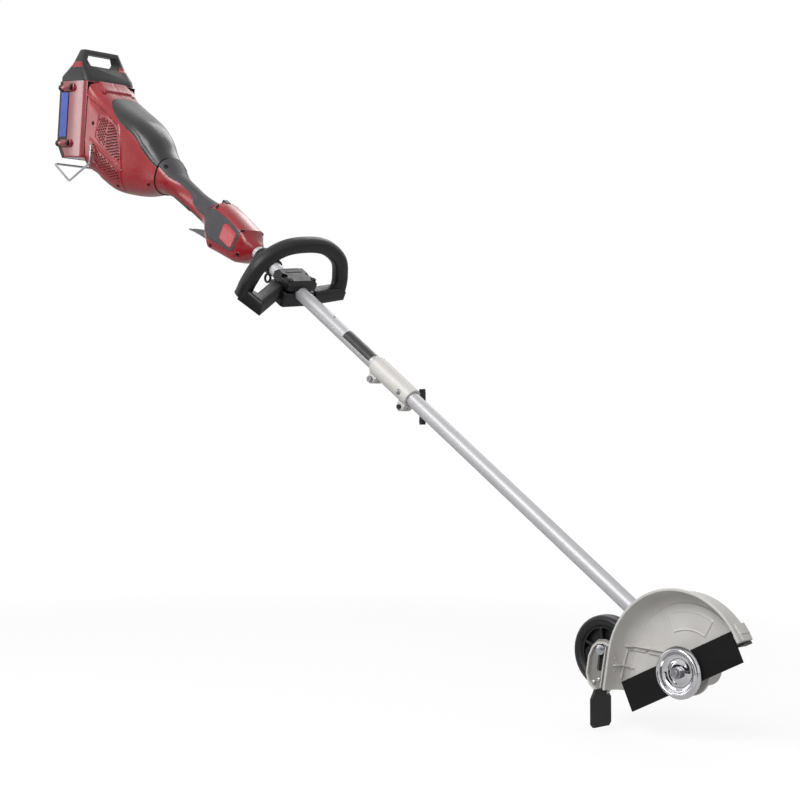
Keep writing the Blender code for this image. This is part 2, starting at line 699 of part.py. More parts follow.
def grip_and_pod(tool):
    right = grip_shell("grip_pod_right", 1, tool)
    left = grip_shell("grip_pod_left", -1, tool)
    half = TRIGGER_WIDTH / 2 + 2 * GAP
    slot = solid("trigger_slot", block(POD_BACK - 9 * MM, TRIGGER_PIVOT[0] + 9 * MM, -half, half,
                                       -70 * MM, -17 * MM), None, tool)
    half_x, half_y = LOCKOUT_SIZE[0] / 2, LOCKOUT_SIZE[1] / 2
    well = solid("lockout_well", block(LOCKOUT_X - half_x - GAP, LOCKOUT_X + half_x + GAP,
                                       -half_y - GAP, half_y + GAP, 12 * MM, 50 * MM, 2 * MM), None, tool)
    cut(right, slot, well)
    cut(left, slot, well)
    solid("lockout_button", block(-half_x, half_x, -half_y, half_y, -17 * MM, 0.0, 2 * MM, 1 * MM),
          "black_plastic", tool, (LOCKOUT_X, 0.0, LOCKOUT_TOP))

    places = [float(k) for k in range(7)]
    edges = [OVERMOULD_EDGE] * len(places)
    solid("grip_overmould", saddle(GRIP, places, edges, GAP, OVERMOULD_WALL), "dark_shell", tool)

    badge_x = POD_BACK + 78 * MM
    badge_half = (19 * MM, 20 * MM)
    place = GRIP.station(badge_x)
    face = GRIP.at(place)[3] + GAP
    outline = rounded(-badge_half[0], badge_half[0], -badge_half[1], badge_half[1], (7 * MM,) * 4, 3)
    solid("badge_plate", prism(outline, 0.0, 1.6 * MM, 0.5 * MM), "red_shell", tool,
          (badge_x, -face, -4 * MM), SIDE)

    pin_half = TRIGGER_WIDTH / 2 + 13 * MM
    boss_start = pin_half - 4 * MM
    for shell, side in ((right, 1), (left, -1)):
        start = boss_start if side > 0 else -boss_start
        boss = solid(shell.name + "_boss", rod(TRIGGER_PIN_R + 2.5 * MM, 8 * MM, segments=16), None, tool,
                     (TRIGGER_PIVOT[0], -start, TRIGGER_PIVOT[1]), (side * math.pi / 2, 0.0, 0.0))
        seat = solid(shell.name + "_pin_seat", rod(TRIGGER_PIN_R + GAP, 2 * pin_half + 2 * GAP, segments=16),
                     None,
                     tool, (TRIGGER_PIVOT[0], pin_half + GAP, TRIGGER_PIVOT[1]), SIDE)
        join(shell, boss)
        cut(shell, seat)
    solid("trigger_pin", rod(TRIGGER_PIN_R, 2 * pin_half, 0.5 * MM, 16), "steel", tool,
          (TRIGGER_PIVOT[0], pin_half, TRIGGER_PIVOT[1]), SIDE)
    trigger(tool)
    solid("trigger_spring", coil(TRIGGER_PIN_R + GAP + 0.5 * MM, 0.5 * MM, 4.0, 1.5 * MM), "steel", tool,
          (TRIGGER_PIVOT[0], -TRIGGER_WIDTH / 2 - 3 * GAP, TRIGGER_PIVOT[1]), SIDE)
    tube_under = -TUBE_R - GAP
    solid("power_switch", block(POD_FRONT - 60 * MM, POD_FRONT - 30 * MM, -9 * MM, 9 * MM,
                                tube_under - 15 * MM, tube_under, 1 * MM), "black_plastic", tool)


def trigger(tool):
    """Finger lever, its outline drawn about the pivot, bored for its pin."""
    outline = arc((0.0, 0.0), 6.5, math.radians(100), math.radians(-70), 8)
    outline += [(-8.0, -15.0), (-22.0, -25.0), (-38.0, -27.5), (-54.0, -30.5), (-70.0, -35.0),
                (-71.0, -33.0), (-52.0, -22.5), (-36.0, -15.5), (-24.0, -9.0), (-12.0, -1.0)]
    outline = [(x * MM, z * MM) for x, z in reversed(outline)]
    half = TRIGGER_WIDTH / 2
    lever = solid("trigger", prism(outline, -half, half, 0.8 * MM), "grey_plastic", tool,
                  (TRIGGER_PIVOT[0], 0.0, TRIGGER_PIVOT[1]), SIDE)
    bore = solid("trigger_bore", rod(TRIGGER_PIN_R + RUN, 3 * half, segments=16), None, tool,
                 (TRIGGER_PIVOT[0], 1.5 * half, TRIGGER_PIVOT[1]), SIDE)
    cut(lever, bore)


def coil(radius, wire, turns, pitch):
    """Helix of wire about Z."""
    per_turn = 8
    total = int(turns * per_turn)
    path = [Vector((radius * math.cos(2 * math.pi * k / per_turn),
                    radius * math.sin(2 * math.pi * k / per_turn),
                    pitch * k / per_turn)) for k in range(total + 1)]
    return along_path(path, round_section(wire, wire, 5), Vector((0, 0, 1)))


def wire_stand(tool):
    """Bent wire foot: down each side of the housing, back along the ground and across."""
    root_x, root_z = STAND_ROOT
    side = STAND_SIDE + GAP
    knee = (root_x + 17 * MM, root_z - 31 * MM)
    foot = (root_x - 22 * MM, root_z - 92 * MM)
    back = (root_x - 83 * MM, root_z - 88 * MM)
    half = [(root_x, -side + 9 * MM, root_z), (root_x, -side, root_z), (knee[0], -side, knee[1]),
            (foot[0], -side, foot[1]), (back[0], -side, back[1])]
    corners = half + [(x, -y, z) for x, y, z in reversed(half)]
    path = softened(corners, 6 * MM, 3)
    solid("wire_stand", along_path(path, round_section(STAND_R, STAND_R, 8),
                                   Vector((0.3, 0.2, 1.0)).normalized()),
          "bright_steel", tool)


# Motor and electronics
def ring_between(outside, inside, low, high):
    """Flat ring between two outlines with equal counts."""
    return skin([[(x, y, low) for x, y in outside], [(x, y, high) for x, y in outside],
                 [(x, y, high) for x, y in inside], [(x, y, low) for x, y in inside]], closed_ends=False)


def waves(outer, inner, teeth, share=0.5):
    """Star outline: each tooth is four points, two on each radius."""
    outline = []
    for k in range(teeth):
        start = 2 * math.pi * k / teeth
        step = 2 * math.pi / teeth
        for part, radius in ((0.0, outer), (share * 0.8, outer), (share, inner), (0.9, inner)):
            outline.append((radius * math.cos(start + part * step), radius * math.sin(start + part * step)))
    return outline


def circle(radius, count):
    return [(radius * math.cos(2 * math.pi * k / count), radius * math.sin(2 * math.pi * k / count))
            for k in range(count)]


def motor(tool, rotor):
    plate_front = MOTOR_PLATE_FRONT
    plate_back = plate_front - MOTOR_PLATE_THICKNESS
    shaft_r = 4.0 * MM
    room = SHELL_WALL + 3 * GAP
    rings = [flat_ring(HOUSING, plate_back, room), flat_ring(HOUSING, plate_front, room),
             circle_ring(plate_front, shaft_r + RUN), circle_ring(plate_back, shaft_r + RUN)]
    solid("motor_plate", skin(rings, closed_ends=False), "cast_metal", tool)

    stator_front = plate_back - GAP
    poles = 9
    inside = waves(ROTOR_RADIUS + MOTOR_AIR_GAP, MOTOR_RADIUS - 9 * MM, poles, 0.7)
    outside = circle(MOTOR_RADIUS, len(inside))
    solid("motor_stator", ring_between(outside, inside, 0.0, MOTOR_LENGTH), "copper", tool,
          (stator_front - MOTOR_LENGTH, 0.0, 0.0), ALONG)
    rotor_back = stator_front - MOTOR_LENGTH
    shaft_end = plate_front + 22 * MM - rotor_back
    clear = 2 * MM
    solid("motor_rotor", turned([(0.0, -8 * MM), (shaft_r, -8 * MM), (shaft_r, 0.0), (ROTOR_RADIUS, 0.0),
                                 (ROTOR_RADIUS, MOTOR_LENGTH - clear), (shaft_r, MOTOR_LENGTH - clear),
                                 (shaft_r, shaft_end), (0.0, shaft_end)]), "steel", rotor,
          (rotor_back, 0.0, 0.0), ALONG)
    fan_back = plate_front + 2 * MM
    blades = waves(FAN_RADIUS, FAN_RADIUS * 0.5, 9, 0.5)
    solid("motor_fan", ring_between(blades, circle(shaft_r + RUN, len(blades)), 0.0, 12 * MM),
          "black_plastic", rotor, (fan_back, 0.0, 0.0), ALONG)
    solid("controller_board", block(plate_back - GAP - 56 * MM, plate_back - GAP, -32 * MM, 32 * MM,
                                    -66 * MM, -62 * MM), "board_green", tool)
    return rotor_back + shaft_end


# Battery
def battery(bay):
    pack = frame("battery_frame", bay)
    base = -BAY_HEIGHT / 2 + BATTERY_LIFT
    top = base + BATTERY_HEIGHT
    half = BATTERY_WIDTH / 2
    back = -BATTERY_DEPTH
    wall = BATTERY_WALL

    def ring(z, from_back, from_side, from_front, front_r, back_r):
        outline = rounded(back + from_back, -GAP - from_front, -half + from_side, half - from_side,
                          (back_r, front_r, front_r, back_r), 4)
        return [(x, y, z) for x, y in outline]

    soft, tight = 14 * MM, 7 * MM
    bevel = 19 * MM
    rings = [ring(base, bevel, 3 * MM, 2 * MM, soft, tight), ring(base + 2 * MM, bevel, 0, 0, soft, tight),
             ring(base + 26 * MM, 0, 0, 0, soft, tight), ring(top, 0, 0, 0, soft, tight),
             ring(top, wall, wall, wall, soft - wall, tight - wall),
             ring(base + 26 * MM, wall, wall, wall, soft - wall, tight - wall),
             ring(base + wall, bevel + wall, wall, wall, soft - wall, tight - wall)]
    case = solid("battery_case", skin(rings), "red_shell", pack)
    for index, z in enumerate((base + 31 * MM, top - 13 * MM)):
        for side in (-1, 1):
            lug = solid("case_lug_%d_%d" % (index, side + 1),
                        block(back + 9 * MM, back + 42 * MM, min(side * (half - 1 * MM),
                                                                 side * (half + 2.5 * MM)),
                              max(side * (half - 1 * MM), side * (half + 2.5 * MM)), z - 6.5 * MM,
                              z + 6.5 * MM),
                        None, pack)
            join(case, lug)
    solid("battery_cells", block(back + wall + bevel + GAP, -wall - 3 * GAP, -half + wall + 1 * MM,
                                 half - wall - 1 * MM, base + wall + GAP, top - 2 * MM, 12 * MM),
          "grey_plastic", pack)

    seat = top + GAP
    high = seat + CAP_HEIGHT
    cap_rings = [ring(seat, 0, -0.5 * MM, 0, soft, tight), ring(seat + 9 * MM, 0, 0, 3 * MM, soft, tight),
                 ring(seat + 32 * MM, 26 * MM, 5 * MM, 26 * MM, 8 * MM, 6 * MM),
                 ring(high - 1 * MM, 31 * MM, 17 * MM, 36 * MM, 5 * MM, 5 * MM),
                 ring(high, 32 * MM, 18 * MM, 37 * MM, 4 * MM, 4 * MM)]
    cap = solid("battery_cap", skin(cap_rings), "dark_shell", pack)
    opening = [(-38.0, 42.0), (-32.0, 31.0), (32.0, 31.0), (38.0, 42.0), (33.0, 53.0), (-33.0, 53.0)]
    shape = skin([[(x, y * MM, seat + z * MM) for y, z in opening] for x in (back - 10 * MM, 20 * MM)])
    hole = solid("cap_opening", shape, None, pack)
    latch_half = 12 * MM
    latch_low, latch_high = seat + 12 * MM, seat + 24 * MM
    pocket = solid("latch_pocket", block(back - 5 * MM, back + 29 * MM, -latch_half - GAP, latch_half + GAP,
                                         latch_low - GAP, latch_high + GAP), None, pack)
    cut(cap, hole, pocket)
    solid("battery_latch", block(0.0, 16 * MM, -latch_half, latch_half, 0.0, latch_high - latch_low, 2 * MM),
          "black_plastic", pack, (back + 9 * MM, 0.0, latch_low))
    solid("battery_side_plate", block(back + 8 * MM, back + 30 * MM, -half - GAP - 1.2 * MM, -half - GAP,
                                      base + 40 * MM, top - 22 * MM), "blue_panel", pack)


# Shaft
def shaft(tool, rotor, rotor_end, attachment, lower_shaft):
    solid("upper_tube", pipe(TUBE_R, TUBE_R - TUBE_WALL, TUBE_JOINT - GAP / 2 - UPPER_TUBE_BACK),
          "tube_metal", tool, (UPPER_TUBE_BACK, 0.0, 0.0), ALONG)
    tube = solid("lower_tube", pipe(TUBE_R, TUBE_R - TUBE_WALL, LOWER_TUBE_FRONT - TUBE_JOINT - GAP / 2),
                 "tube_metal", attachment, (TUBE_JOINT + GAP / 2, 0.0, 0.0), ALONG)
    slot_half = RELEASE_DIA / 2 + GAP
    keyway = solid("keyway", block(TUBE_JOINT - 2 * MM, RELEASE_X + slot_half, -TUBE_OD, -slot_half,
                                   -slot_half, slot_half), None, attachment)
    cut(tube, keyway)
    bush_bore = DRIVE_R + RUN
    bush_outer = TUBE_R - TUBE_WALL - GAP
    solid("upper_bush", pipe(bush_outer, bush_bore, BUSH_LENGTH, 24), "black_plastic", tool,
          (UPPER_TUBE_BACK + 4 * MM, 0.0, 0.0), ALONG)
    solid("lower_bush", pipe(bush_outer, bush_bore, BUSH_LENGTH, 24), "black_plastic", attachment,
          (LOWER_TUBE_FRONT - BUSH_LENGTH - 4 * MM, 0.0, 0.0), ALONG)

    socket_r, socket_depth = 6.5 * MM, 16 * MM
    socket_end = TUBE_JOINT - 2 * MM
    start = rotor_end + GAP
    length = socket_end - start
    upper = solid("upper_drive_shaft",
                  turned([(0.0, 0.0), (DRIVE_R, 0.0), (DRIVE_R, length - socket_depth - 4 * MM),
                          (socket_r, length - socket_depth), (socket_r, length), (0.0, length)], 24),
                  "steel", rotor, (start, 0.0, 0.0), ALONG)
    square = 2.6 * MM
    key_gap = 2 * GAP / 3
    hollow = solid("socket_square", block(socket_end - socket_depth + 2 * MM, socket_end + 5 * MM,
                                          -square - key_gap, square + key_gap,
                                          -square - key_gap, square + key_gap), None, rotor)
    cut(upper, hollow)
    tip_back = socket_end - socket_depth + 4 * MM
    lower_back = socket_end + 4 * MM
    lower = solid("lower_drive_shaft", pinion_shaft(lower_back), "steel", lower_shaft,
                  (lower_back, 0.0, 0.0), ALONG)
    tip = solid("square_tip", block(tip_back, lower_back + 2 * MM, -square, square, -square, square),
                None, lower_shaft)
    join(lower, tip)

    label_r = TUBE_R + GAP
    label_front = COUPLER_BACK - LABEL_OFFSET
    solid("tube_label", pipe(label_r + 0.6 * MM, label_r, LABEL_LENGTH), "black_plastic", tool,
          (label_front - LABEL_LENGTH, 0.0, 0.0), ALONG)
    collar_x = POD_FRONT + 12 * MM
    solid("tube_collar", turned([(TUBE_R + GAP, 0.0), (TUBE_R + 5 * MM, 0.0), (TUBE_R + 6 * MM, 2 * MM),
                                 (TUBE_R + 6 * MM, 12 * MM), (TUBE_R + 5 * MM, 14 * MM),
                                 (TUBE_R + GAP, 14 * MM)], ring=True), "black_plastic", tool,
          (collar_x, 0.0, 0.0), ALONG)
    hanger_x = POD_FRONT + 48 * MM
    hanger_half = 6 * MM
    band = solid("strap_hanger", pipe(TUBE_R + 4 * MM, TUBE_R + GAP, 2 * hanger_half), "black_plastic", tool,
                 (hanger_x - hanger_half, 0.0, 0.0), ALONG)
    eye_r, eye_wire = 7 * MM, 2.2 * MM
    eye_z = -TUBE_R - 4 * MM - eye_r
    eye_profile = [(eye_r + eye_wire * math.cos(math.pi * k / 4), eye_wire * math.sin(math.pi * k / 4))
                   for k in range(8)]
    eye = solid("hanger_eye", turned(eye_profile, 20, ring=True), None, tool, (hanger_x, 0.0, eye_z), SIDE)
    ear = solid("hanger_ear", block(hanger_x - 5 * MM, hanger_x + 5 * MM, -4 * MM, 4 * MM,
                                    TUBE_R + 2 * MM, TUBE_R + 8 * MM, 1 * MM), None, tool)
    join(band, eye, ear)


def pinion_shaft(back):
    """Drive shaft that ends in a toothed cone, in one piece, its heights counted from its back end."""
    end = -PINION_FACE - back
    inner = -PINION_FACE + PINION_DEPTH - back
    hub_back = end - PINION_HUB
    teeth = PINION_TEETH
    count = teeth * 4
    small = (PINION_FACE - PINION_DEPTH) / PINION_FACE
    rim = PINION_RADIUS - GAP

    def ring(radius, height):
        return [(x, y, height) for x, y in circle(radius, count)]

    def toothed(radius, height):
        return [(x, y, height) for x, y in waves(radius, radius - TOOTH_DEPTH, teeth)]

    rings = [ring(DRIVE_R, 0.0), ring(DRIVE_R, hub_back - 3 * MM), ring(PINION_HUB_R, hub_back),
             ring(PINION_HUB_R, end - 3 * MM), toothed(rim - 1 * MM, end - 2 * MM), toothed(rim, end),
             toothed(rim * small, inner)]
    return skin(rings)


# Front handle
def spline(points, fill):
    """Smooth curve through points, with a number of steps for each span."""
    path = []
    last = len(points) - 1
    for k in range(last):
        p0, p1, p2, p3 = (Vector(points[min(max(k + d, 0), last)]) for d in (-1, 0, 1, 2))
        for step in range(fill):
            t = step / fill
            path.append(0.5 * (2 * p1 + (p2 - p0) * t + (2 * p0 - 5 * p1 + 4 * p2 - p3) * t * t
                               + (3 * p1 - p0 - 3 * p2 + p3) * t ** 3))
    path.append(Vector(points[-1]))
    return path


def front_handle(tool):
    """Loop handle: two base bars from the clamp, a step back at each corner, then the arch."""
    roll = frame("handle_frame", tool, (HANDLE_X, 0.0, 0.0), (HANDLE_ROLL, 0.0, 0.0))
    lean = frame("handle_lean", roll, (1 * MM, 0.0, 0.0), (0.0, -HANDLE_LEAN, 0.0))
    block_half = CLAMP_BOLT_SPAN / 2 + CLAMP_BOLT_DIA / 2 + 5 * MM
    root = block_half / MM + GAP / MM
    right_bar = [(2.0, -root, -6.0), (2.0, -root - 6.0, -6.0), (28.0, -91.0, -21.0), (-2.0, -104.0, -9.0)]
    left_bar = [(6.0, 98.0, -15.0), (13.0, root + 6.0, -9.0), (13.0, root, -9.0)]
    arch = [(0.0, -99.5, 15.5), (0.0, -83.6, 50.0), (0.0, -45.0, 75.0), (0.0, 0.0, 81.0),
            (0.0, 45.0, 75.0), (0.0, 83.6, 50.0), (0.0, 99.5, 15.5)]
    path = [Vector(p) for p in right_bar] + spline(arch, 3) + [Vector(p) for p in left_bar]
    solid("d_handle", along_path([p * MM for p in path], round_section(13.5 * MM, 13 * MM, 12),
                                 Vector((1, 0, 0))),
          "black_plastic", lean)
    half = CLAMP_LENGTH / 2
    bore = solid("clamp_bore", rod(TUBE_R + GAP / 2, CLAMP_LENGTH * 2), None, roll,
                 (-CLAMP_LENGTH, 0.0, 0.0), ALONG)
    base = solid("handle_clamp_base", block(-half, half, -block_half, block_half, -27 * MM, -GAP / 2,
                                            7 * MM, 2 * MM), "black_plastic", roll)
    cap = solid("handle_clamp_cap", block(-half, half, -block_half + 2 * MM, block_half - 2 * MM, GAP / 2,
                                          22 * MM, 7 * MM, 6 * MM), "black_plastic", roll)
    cut(base, bore)
    cut(cap, bore)
    bolt_r = CLAMP_BOLT_DIA / 2
    head_r, head_h = bolt_r * 1.7, 5 * MM
    bolt_seat = 12 * MM
    shank = 32 * MM
    for name, side in (("clamp_bolt_right", -1), ("clamp_bolt_left", 1)):
        y = side * CLAMP_BOLT_SPAN / 2
        hole = solid(name + "_hole", turned([(0.0, -shank - GAP), (bolt_r + GAP, -shank - GAP),
                                             (bolt_r + GAP, -GAP),
                                             (head_r + GAP, -GAP), (head_r + GAP, 20 * MM), (0.0, 20 * MM)],
                                            16),
                     None, roll, (0.0, y, bolt_seat))
        cut(base, hole)
        cut(cap, hole)
        solid(name, turned([(0.0, -shank), (bolt_r, -shank), (bolt_r, 0.0), (head_r, 0.0), (head_r, head_h),
                            (head_r * 0.55, head_h), (head_r * 0.55, head_h - 3 * MM),
                            (0.0, head_h - 3 * MM)], 16),
              "steel", roll, (0.0, y, bolt_seat))


# Coupler
def coupler(tool):
    outer = COUPLER_OD / 2
    body = solid("coupler_body", turned([(COUPLER_BORE, 0.0), (outer - 2 * MM, 0.0), (outer, 3 * MM),
                                         (outer, COUPLER_LENGTH - 1 * MM),
                                         (outer - 1 * MM, COUPLER_LENGTH), (COUPLER_BORE, COUPLER_LENGTH)],
                                        ring=True), "cast_metal", tool, (COUPLER_BACK, 0.0, 0.0), ALONG)
    lug_r = LUG_BOLT_DIA / 2 + 4.5 * MM
    for index, x in enumerate(LUG_X):
        outline = arc((0.0, 0.0), lug_r, math.radians(200), math.radians(340), 6)
        outline += [(lug_r + 2 * MM, -LUG_Z - COUPLER_BORE - 1 * MM),
                    (-lug_r - 2 * MM, -LUG_Z - COUPLER_BORE - 1 * MM)]
        lug = solid("lug_%d" % index, prism(outline, -LUG_SIDE, LUG_SIDE, 1 * MM), None, tool,
                    (x, 0.0, LUG_Z), SIDE)
        join(body, lug)
        hole = solid("lug_hole_%d" % index, rod(LUG_BOLT_DIA / 2 + GAP, 4 * LUG_SIDE, segments=16), None,
                     tool,
                     (x, 2 * LUG_SIDE, LUG_Z), SIDE)
        cut(body, hole)
    slit = solid("slit", block(COUPLER_BACK - 5 * MM, COUPLER_FRONT + 5 * MM, -1 * MM, 1 * MM,
                               LUG_Z - 15 * MM, -COUPLER_BORE + 2 * MM), None, tool)
    bore = solid("coupler_bore", rod(COUPLER_BORE, COUPLER_LENGTH * 1.4), None, tool,
                 (COUPLER_BACK - COUPLER_LENGTH * 0.2, 0.0, 0.0), ALONG)
    button_r = RELEASE_DIA / 2
    port = solid("button_port", rod(button_r + GAP, 30 * MM, segments=24), None, tool,
                 (RELEASE_X, 0.0, 0.0), SIDE)
    cut(body, bore, slit, port)
    solid("release_button", turned([(0.0, 0.0), (button_r, 0.0), (button_r, 7.5 * MM),
                                    (button_r - 1 * MM, 8.5 * MM),
                                    (0.0, 9.0 * MM)], 24), "steel", tool, (RELEASE_X, -TUBE_R + 3 * MM, 0.0),
          SIDE)
    bolt_r = LUG_BOLT_DIA / 2
    near = LUG_SIDE + GAP
    solid("coupler_bolt", turned([(0.0, -LUG_SIDE - 3 * MM), (bolt_r, -LUG_SIDE - 3 * MM), (bolt_r, near),
                                  (bolt_r * 1.7, near), (bolt_r * 1.7, near + 4 * MM), (0.0, near + 4 * MM)],
                                 16),
          "steel", tool, (LUG_X[0], 0.0, LUG_Z), SIDE)
    knob_near, knob_far = -38 * MM, -47 * MM
    knob = solid("coupler_knob", turned([(0.0, near + 3 * MM), (bolt_r + 1 * MM, near + 3 * MM),
                                         (bolt_r + 1 * MM, near),
                                         (bolt_r, near), (bolt_r, knob_near + 4 * MM),
                                         (8 * MM, knob_near + 2 * MM),
                                         (8 * MM, knob_far), (0.0, knob_far)], 24),
                 "black_plastic", tool, (LUG_X[1], 0.0, LUG_Z), SIDE)
    bar = [(-4.0, 29.0), (-5.0, 24.0), (-3.5, 10.0), (-5.5, 0.0), (-3.5, -10.0), (-5.0, -24.0), (-4.0, -29.0),
           (4.0, -29.0), (4.5, -24.0), (4.5, -10.0), (6.0, 0.0), (4.5, 10.0), (4.5, 24.0), (4.0, 29.0)]
    wing = solid("knob_wing", prism([(x * MM, z * MM) for x, z in bar], knob_far + 0.5 * MM,
                                    knob_near - 0.5 * MM,
                                    1 * MM), None, tool, (LUG_X[1], 0.0, LUG_Z),
                 (math.pi / 2, -SHAFT_SLOPE, 0.0))
    join(knob, wing)


# Edging head
def gearbox(attachment, spindle):
    case = solid("gearbox_case", turned([(0.0, 0.0), (GEARCASE_RADIUS, 0.0),
                                         (GEARCASE_RADIUS, CASE_FRONT - CASE_BACK),
                                         (0.0, CASE_FRONT - CASE_BACK)], 32), "cast_metal", attachment,
                 (0.0, -CASE_BACK, 0.0), SIDE)
    neck = solid("gearbox_neck", rod(NECK_R, -NECK_BACK - 3 * MM, 1 * MM), None, attachment,
                 (NECK_BACK, 0.0, 0.0), ALONG)
    join(case, neck)
    front_wall = CASE_FRONT - 7 * MM
    cavity = solid("gear_cavity", rod(GEARCASE_RADIUS - 5 * MM, front_wall - CASE_BACK + 5 * MM), None,
                   attachment,
                   (0.0, -CASE_BACK + 5 * MM, 0.0), SIDE)
    tube_seat = solid("tube_seat", rod(TUBE_R + GAP, LOWER_TUBE_FRONT + GAP - NECK_BACK + 5 * MM), None,
                      attachment,
                      (NECK_BACK - 5 * MM, 0.0, 0.0), ALONG)
    pinion_way = solid("pinion_way", rod(BEARING_R + GAP, 30 * MM, segments=28), None, attachment,
                       (LOWER_TUBE_FRONT - 1 * MM, 0.0, 0.0), ALONG)
    spindle_way = solid("spindle_way", rod(BEARING_R + GAP, 20 * MM), None, attachment,
                        (0.0, -front_wall + 5 * MM, 0.0), SIDE)
    cut(case, cavity, tube_seat, pinion_way, spindle_way)
    cover_thick = 3 * MM
    solid("gearbox_cover", turned([(0.0, -cover_thick), (GEARCASE_RADIUS - 1 * MM, -cover_thick),
                                   (GEARCASE_RADIUS, -cover_thick + 1 * MM), (GEARCASE_RADIUS, 0.0),
                                   (GEARCASE_RADIUS - 5.3 * MM, 0.0), (GEARCASE_RADIUS - 5.3 * MM, 3 * MM),
                                   (SPINDLE_R + 4 * MM, 3 * MM), (SPINDLE_R + 4 * MM, 5.5 * MM),
                                   (SPINDLE_R + RUN, 5.5 * MM), (SPINDLE_R + RUN, 1 * MM), (0.0, 1 * MM)],
                                  32),
          "cast_metal", attachment, (0.0, -CASE_BACK + GAP, 0.0), SIDE)
    solid("pinion_bearing", pipe(BEARING_R, PINION_HUB_R + RUN, 8 * MM), "steel", attachment,
          (-PINION_FACE - 4 * MM - 8 * MM, 0.0, 0.0), ALONG)
    solid("spindle_bearing", pipe(BEARING_R, SPINDLE_R + RUN, CASE_FRONT - front_wall), "steel", attachment,
          (0.0, -front_wall, 0.0), SIDE)
    gear_and_spindle(spindle)


def gear_and_spindle(spindle):
    """Toothed cone facing the pinion from the far side, on the spindle that carries the blade."""
    count = GEAR_TEETH * 4
    face = PINION_RADIUS
    depth = PINION_DEPTH * PINION_RADIUS / GEAR_RADIUS
    small = (face - depth) / face
    rim = GEAR_RADIUS - GAP
    bore = SPINDLE_R + RUN

    def toothed(radius, height):
        return [(x, y, height) for x, y in waves(radius, radius - TOOTH_DEPTH, GEAR_TEETH)]

    def ring(radius, height):
        return [(x, y, height) for x, y in circle(radius, count)]

    rings = [toothed(rim * small, -face + depth), toothed(rim, -face), toothed(rim - 1 * MM, -face - 2 * MM),
             ring(bore + 4 * MM, -face - 3 * MM), ring(bore + 4 * MM, -face - 5 * MM),
             ring(bore, -face - 5 * MM),
             ring(bore, -face + depth)]
    solid("bevel_gear", skin(rings, closed_ends=False), "steel", spindle)
    end = BLADE_OFFSET + BLADE_THICKNESS + CUP_DEPTH + 3 * MM
    solid("output_spindle", turned([(0.0, CASE_BACK + 3 * MM), (SPINDLE_R, CASE_BACK + 3 * MM),
                                    (SPINDLE_R, end - 1 * MM),
                                    (SPINDLE_R - 1 * MM, end), (0.0, end)], 24), "steel", spindle)
    washer_back = GUARD_PLATE_OFFSET + GUARD_WALL + 2 * MM
    hole = SPINDLE_R + RUN
    solid("blade_washer", turned([(hole, washer_back), (14 * MM, washer_back),
                                  (22 * MM, BLADE_OFFSET - 6 * MM),
                                  (28 * MM, BLADE_OFFSET - 3 * MM), (28 * MM, BLADE_OFFSET - GAP),
                                  (hole, BLADE_OFFSET - GAP)], ring=True), "steel", spindle)
    blade = solid("edger_blade", block(-BLADE_LENGTH / 2, BLADE_LENGTH / 2, -BLADE_WIDTH / 2, BLADE_WIDTH / 2,
                                       BLADE_OFFSET, BLADE_OFFSET + BLADE_THICKNESS), "blade_steel", spindle,
                  (0.0, 0.0, 0.0), (0.0, 0.0, BLADE_ANGLE))
    eye = solid("blade_eye", rod(hole, 20 * MM), None, spindle, (0.0, 0.0, BLADE_OFFSET - 10 * MM))
    cut(blade, eye)
    back = BLADE_OFFSET + BLADE_THICKNESS + GAP
    lip = back + CUP_DEPTH
    floor = back + CUP_FLOOR
    solid("blade_cup", turned([(hole, back), (CUP_RADIUS - 2 * MM, back), (CUP_RADIUS, back + 1.2 * MM),
                               (CUP_RADIUS, back + 3.2 * MM), (CUP_LIP_RADIUS + 2.6 * MM, lip - 2.6 * MM),
                               (CUP_LIP_RADIUS, lip - 0.3 * MM), (CUP_LIP_RADIUS - 1.5 * MM, lip),
                               (CUP_LIP_RADIUS - 3.4 * MM, lip - 0.4 * MM),
                               (CUP_LIP_RADIUS - 4.2 * MM, lip - 1.4 * MM),
                               (CUP_LIP_RADIUS - 6.0 * MM, lip - 1.6 * MM),
                               (CUP_LIP_RADIUS - 9.5 * MM, lip - 4.5 * MM),
                               (CUP_LIP_RADIUS - 15.0 * MM, floor), (hole, floor)], 36, ring=True),
          "bright_steel", spindle)
    nut_back = floor + GAP
    nut_outline = circle(9 * MM, 6)
    nut_inner = circle(hole, 24)
    nut = solid("blade_nut", prism(nut_outline, nut_back, nut_back + 7 * MM, 0.8 * MM), "steel", spindle)
    nut_bore = solid("nut_bore", prism(nut_inner, nut_back - 5 * MM, nut_back + 15 * MM), None, spindle)
    cut(nut, nut_bore)


def skirted(radius, count=26):
    """Guard outline at a radius: an arc, then a straight skirt that leaves it at a tangent."""
    outline = arc((0.0, 0.0), radius, GUARD_START, GUARD_END, count)
    outline.append(skirt_point(radius, SKIRT_LENGTH))
    return outline


def skirt_point(radius, down):
    """Point at a radius in the skirt's direction, moved down along the skirt."""
    c, s = math.cos(GUARD_END), math.sin(GUARD_END)
    return (radius * c - down * s, radius * s + down * c)


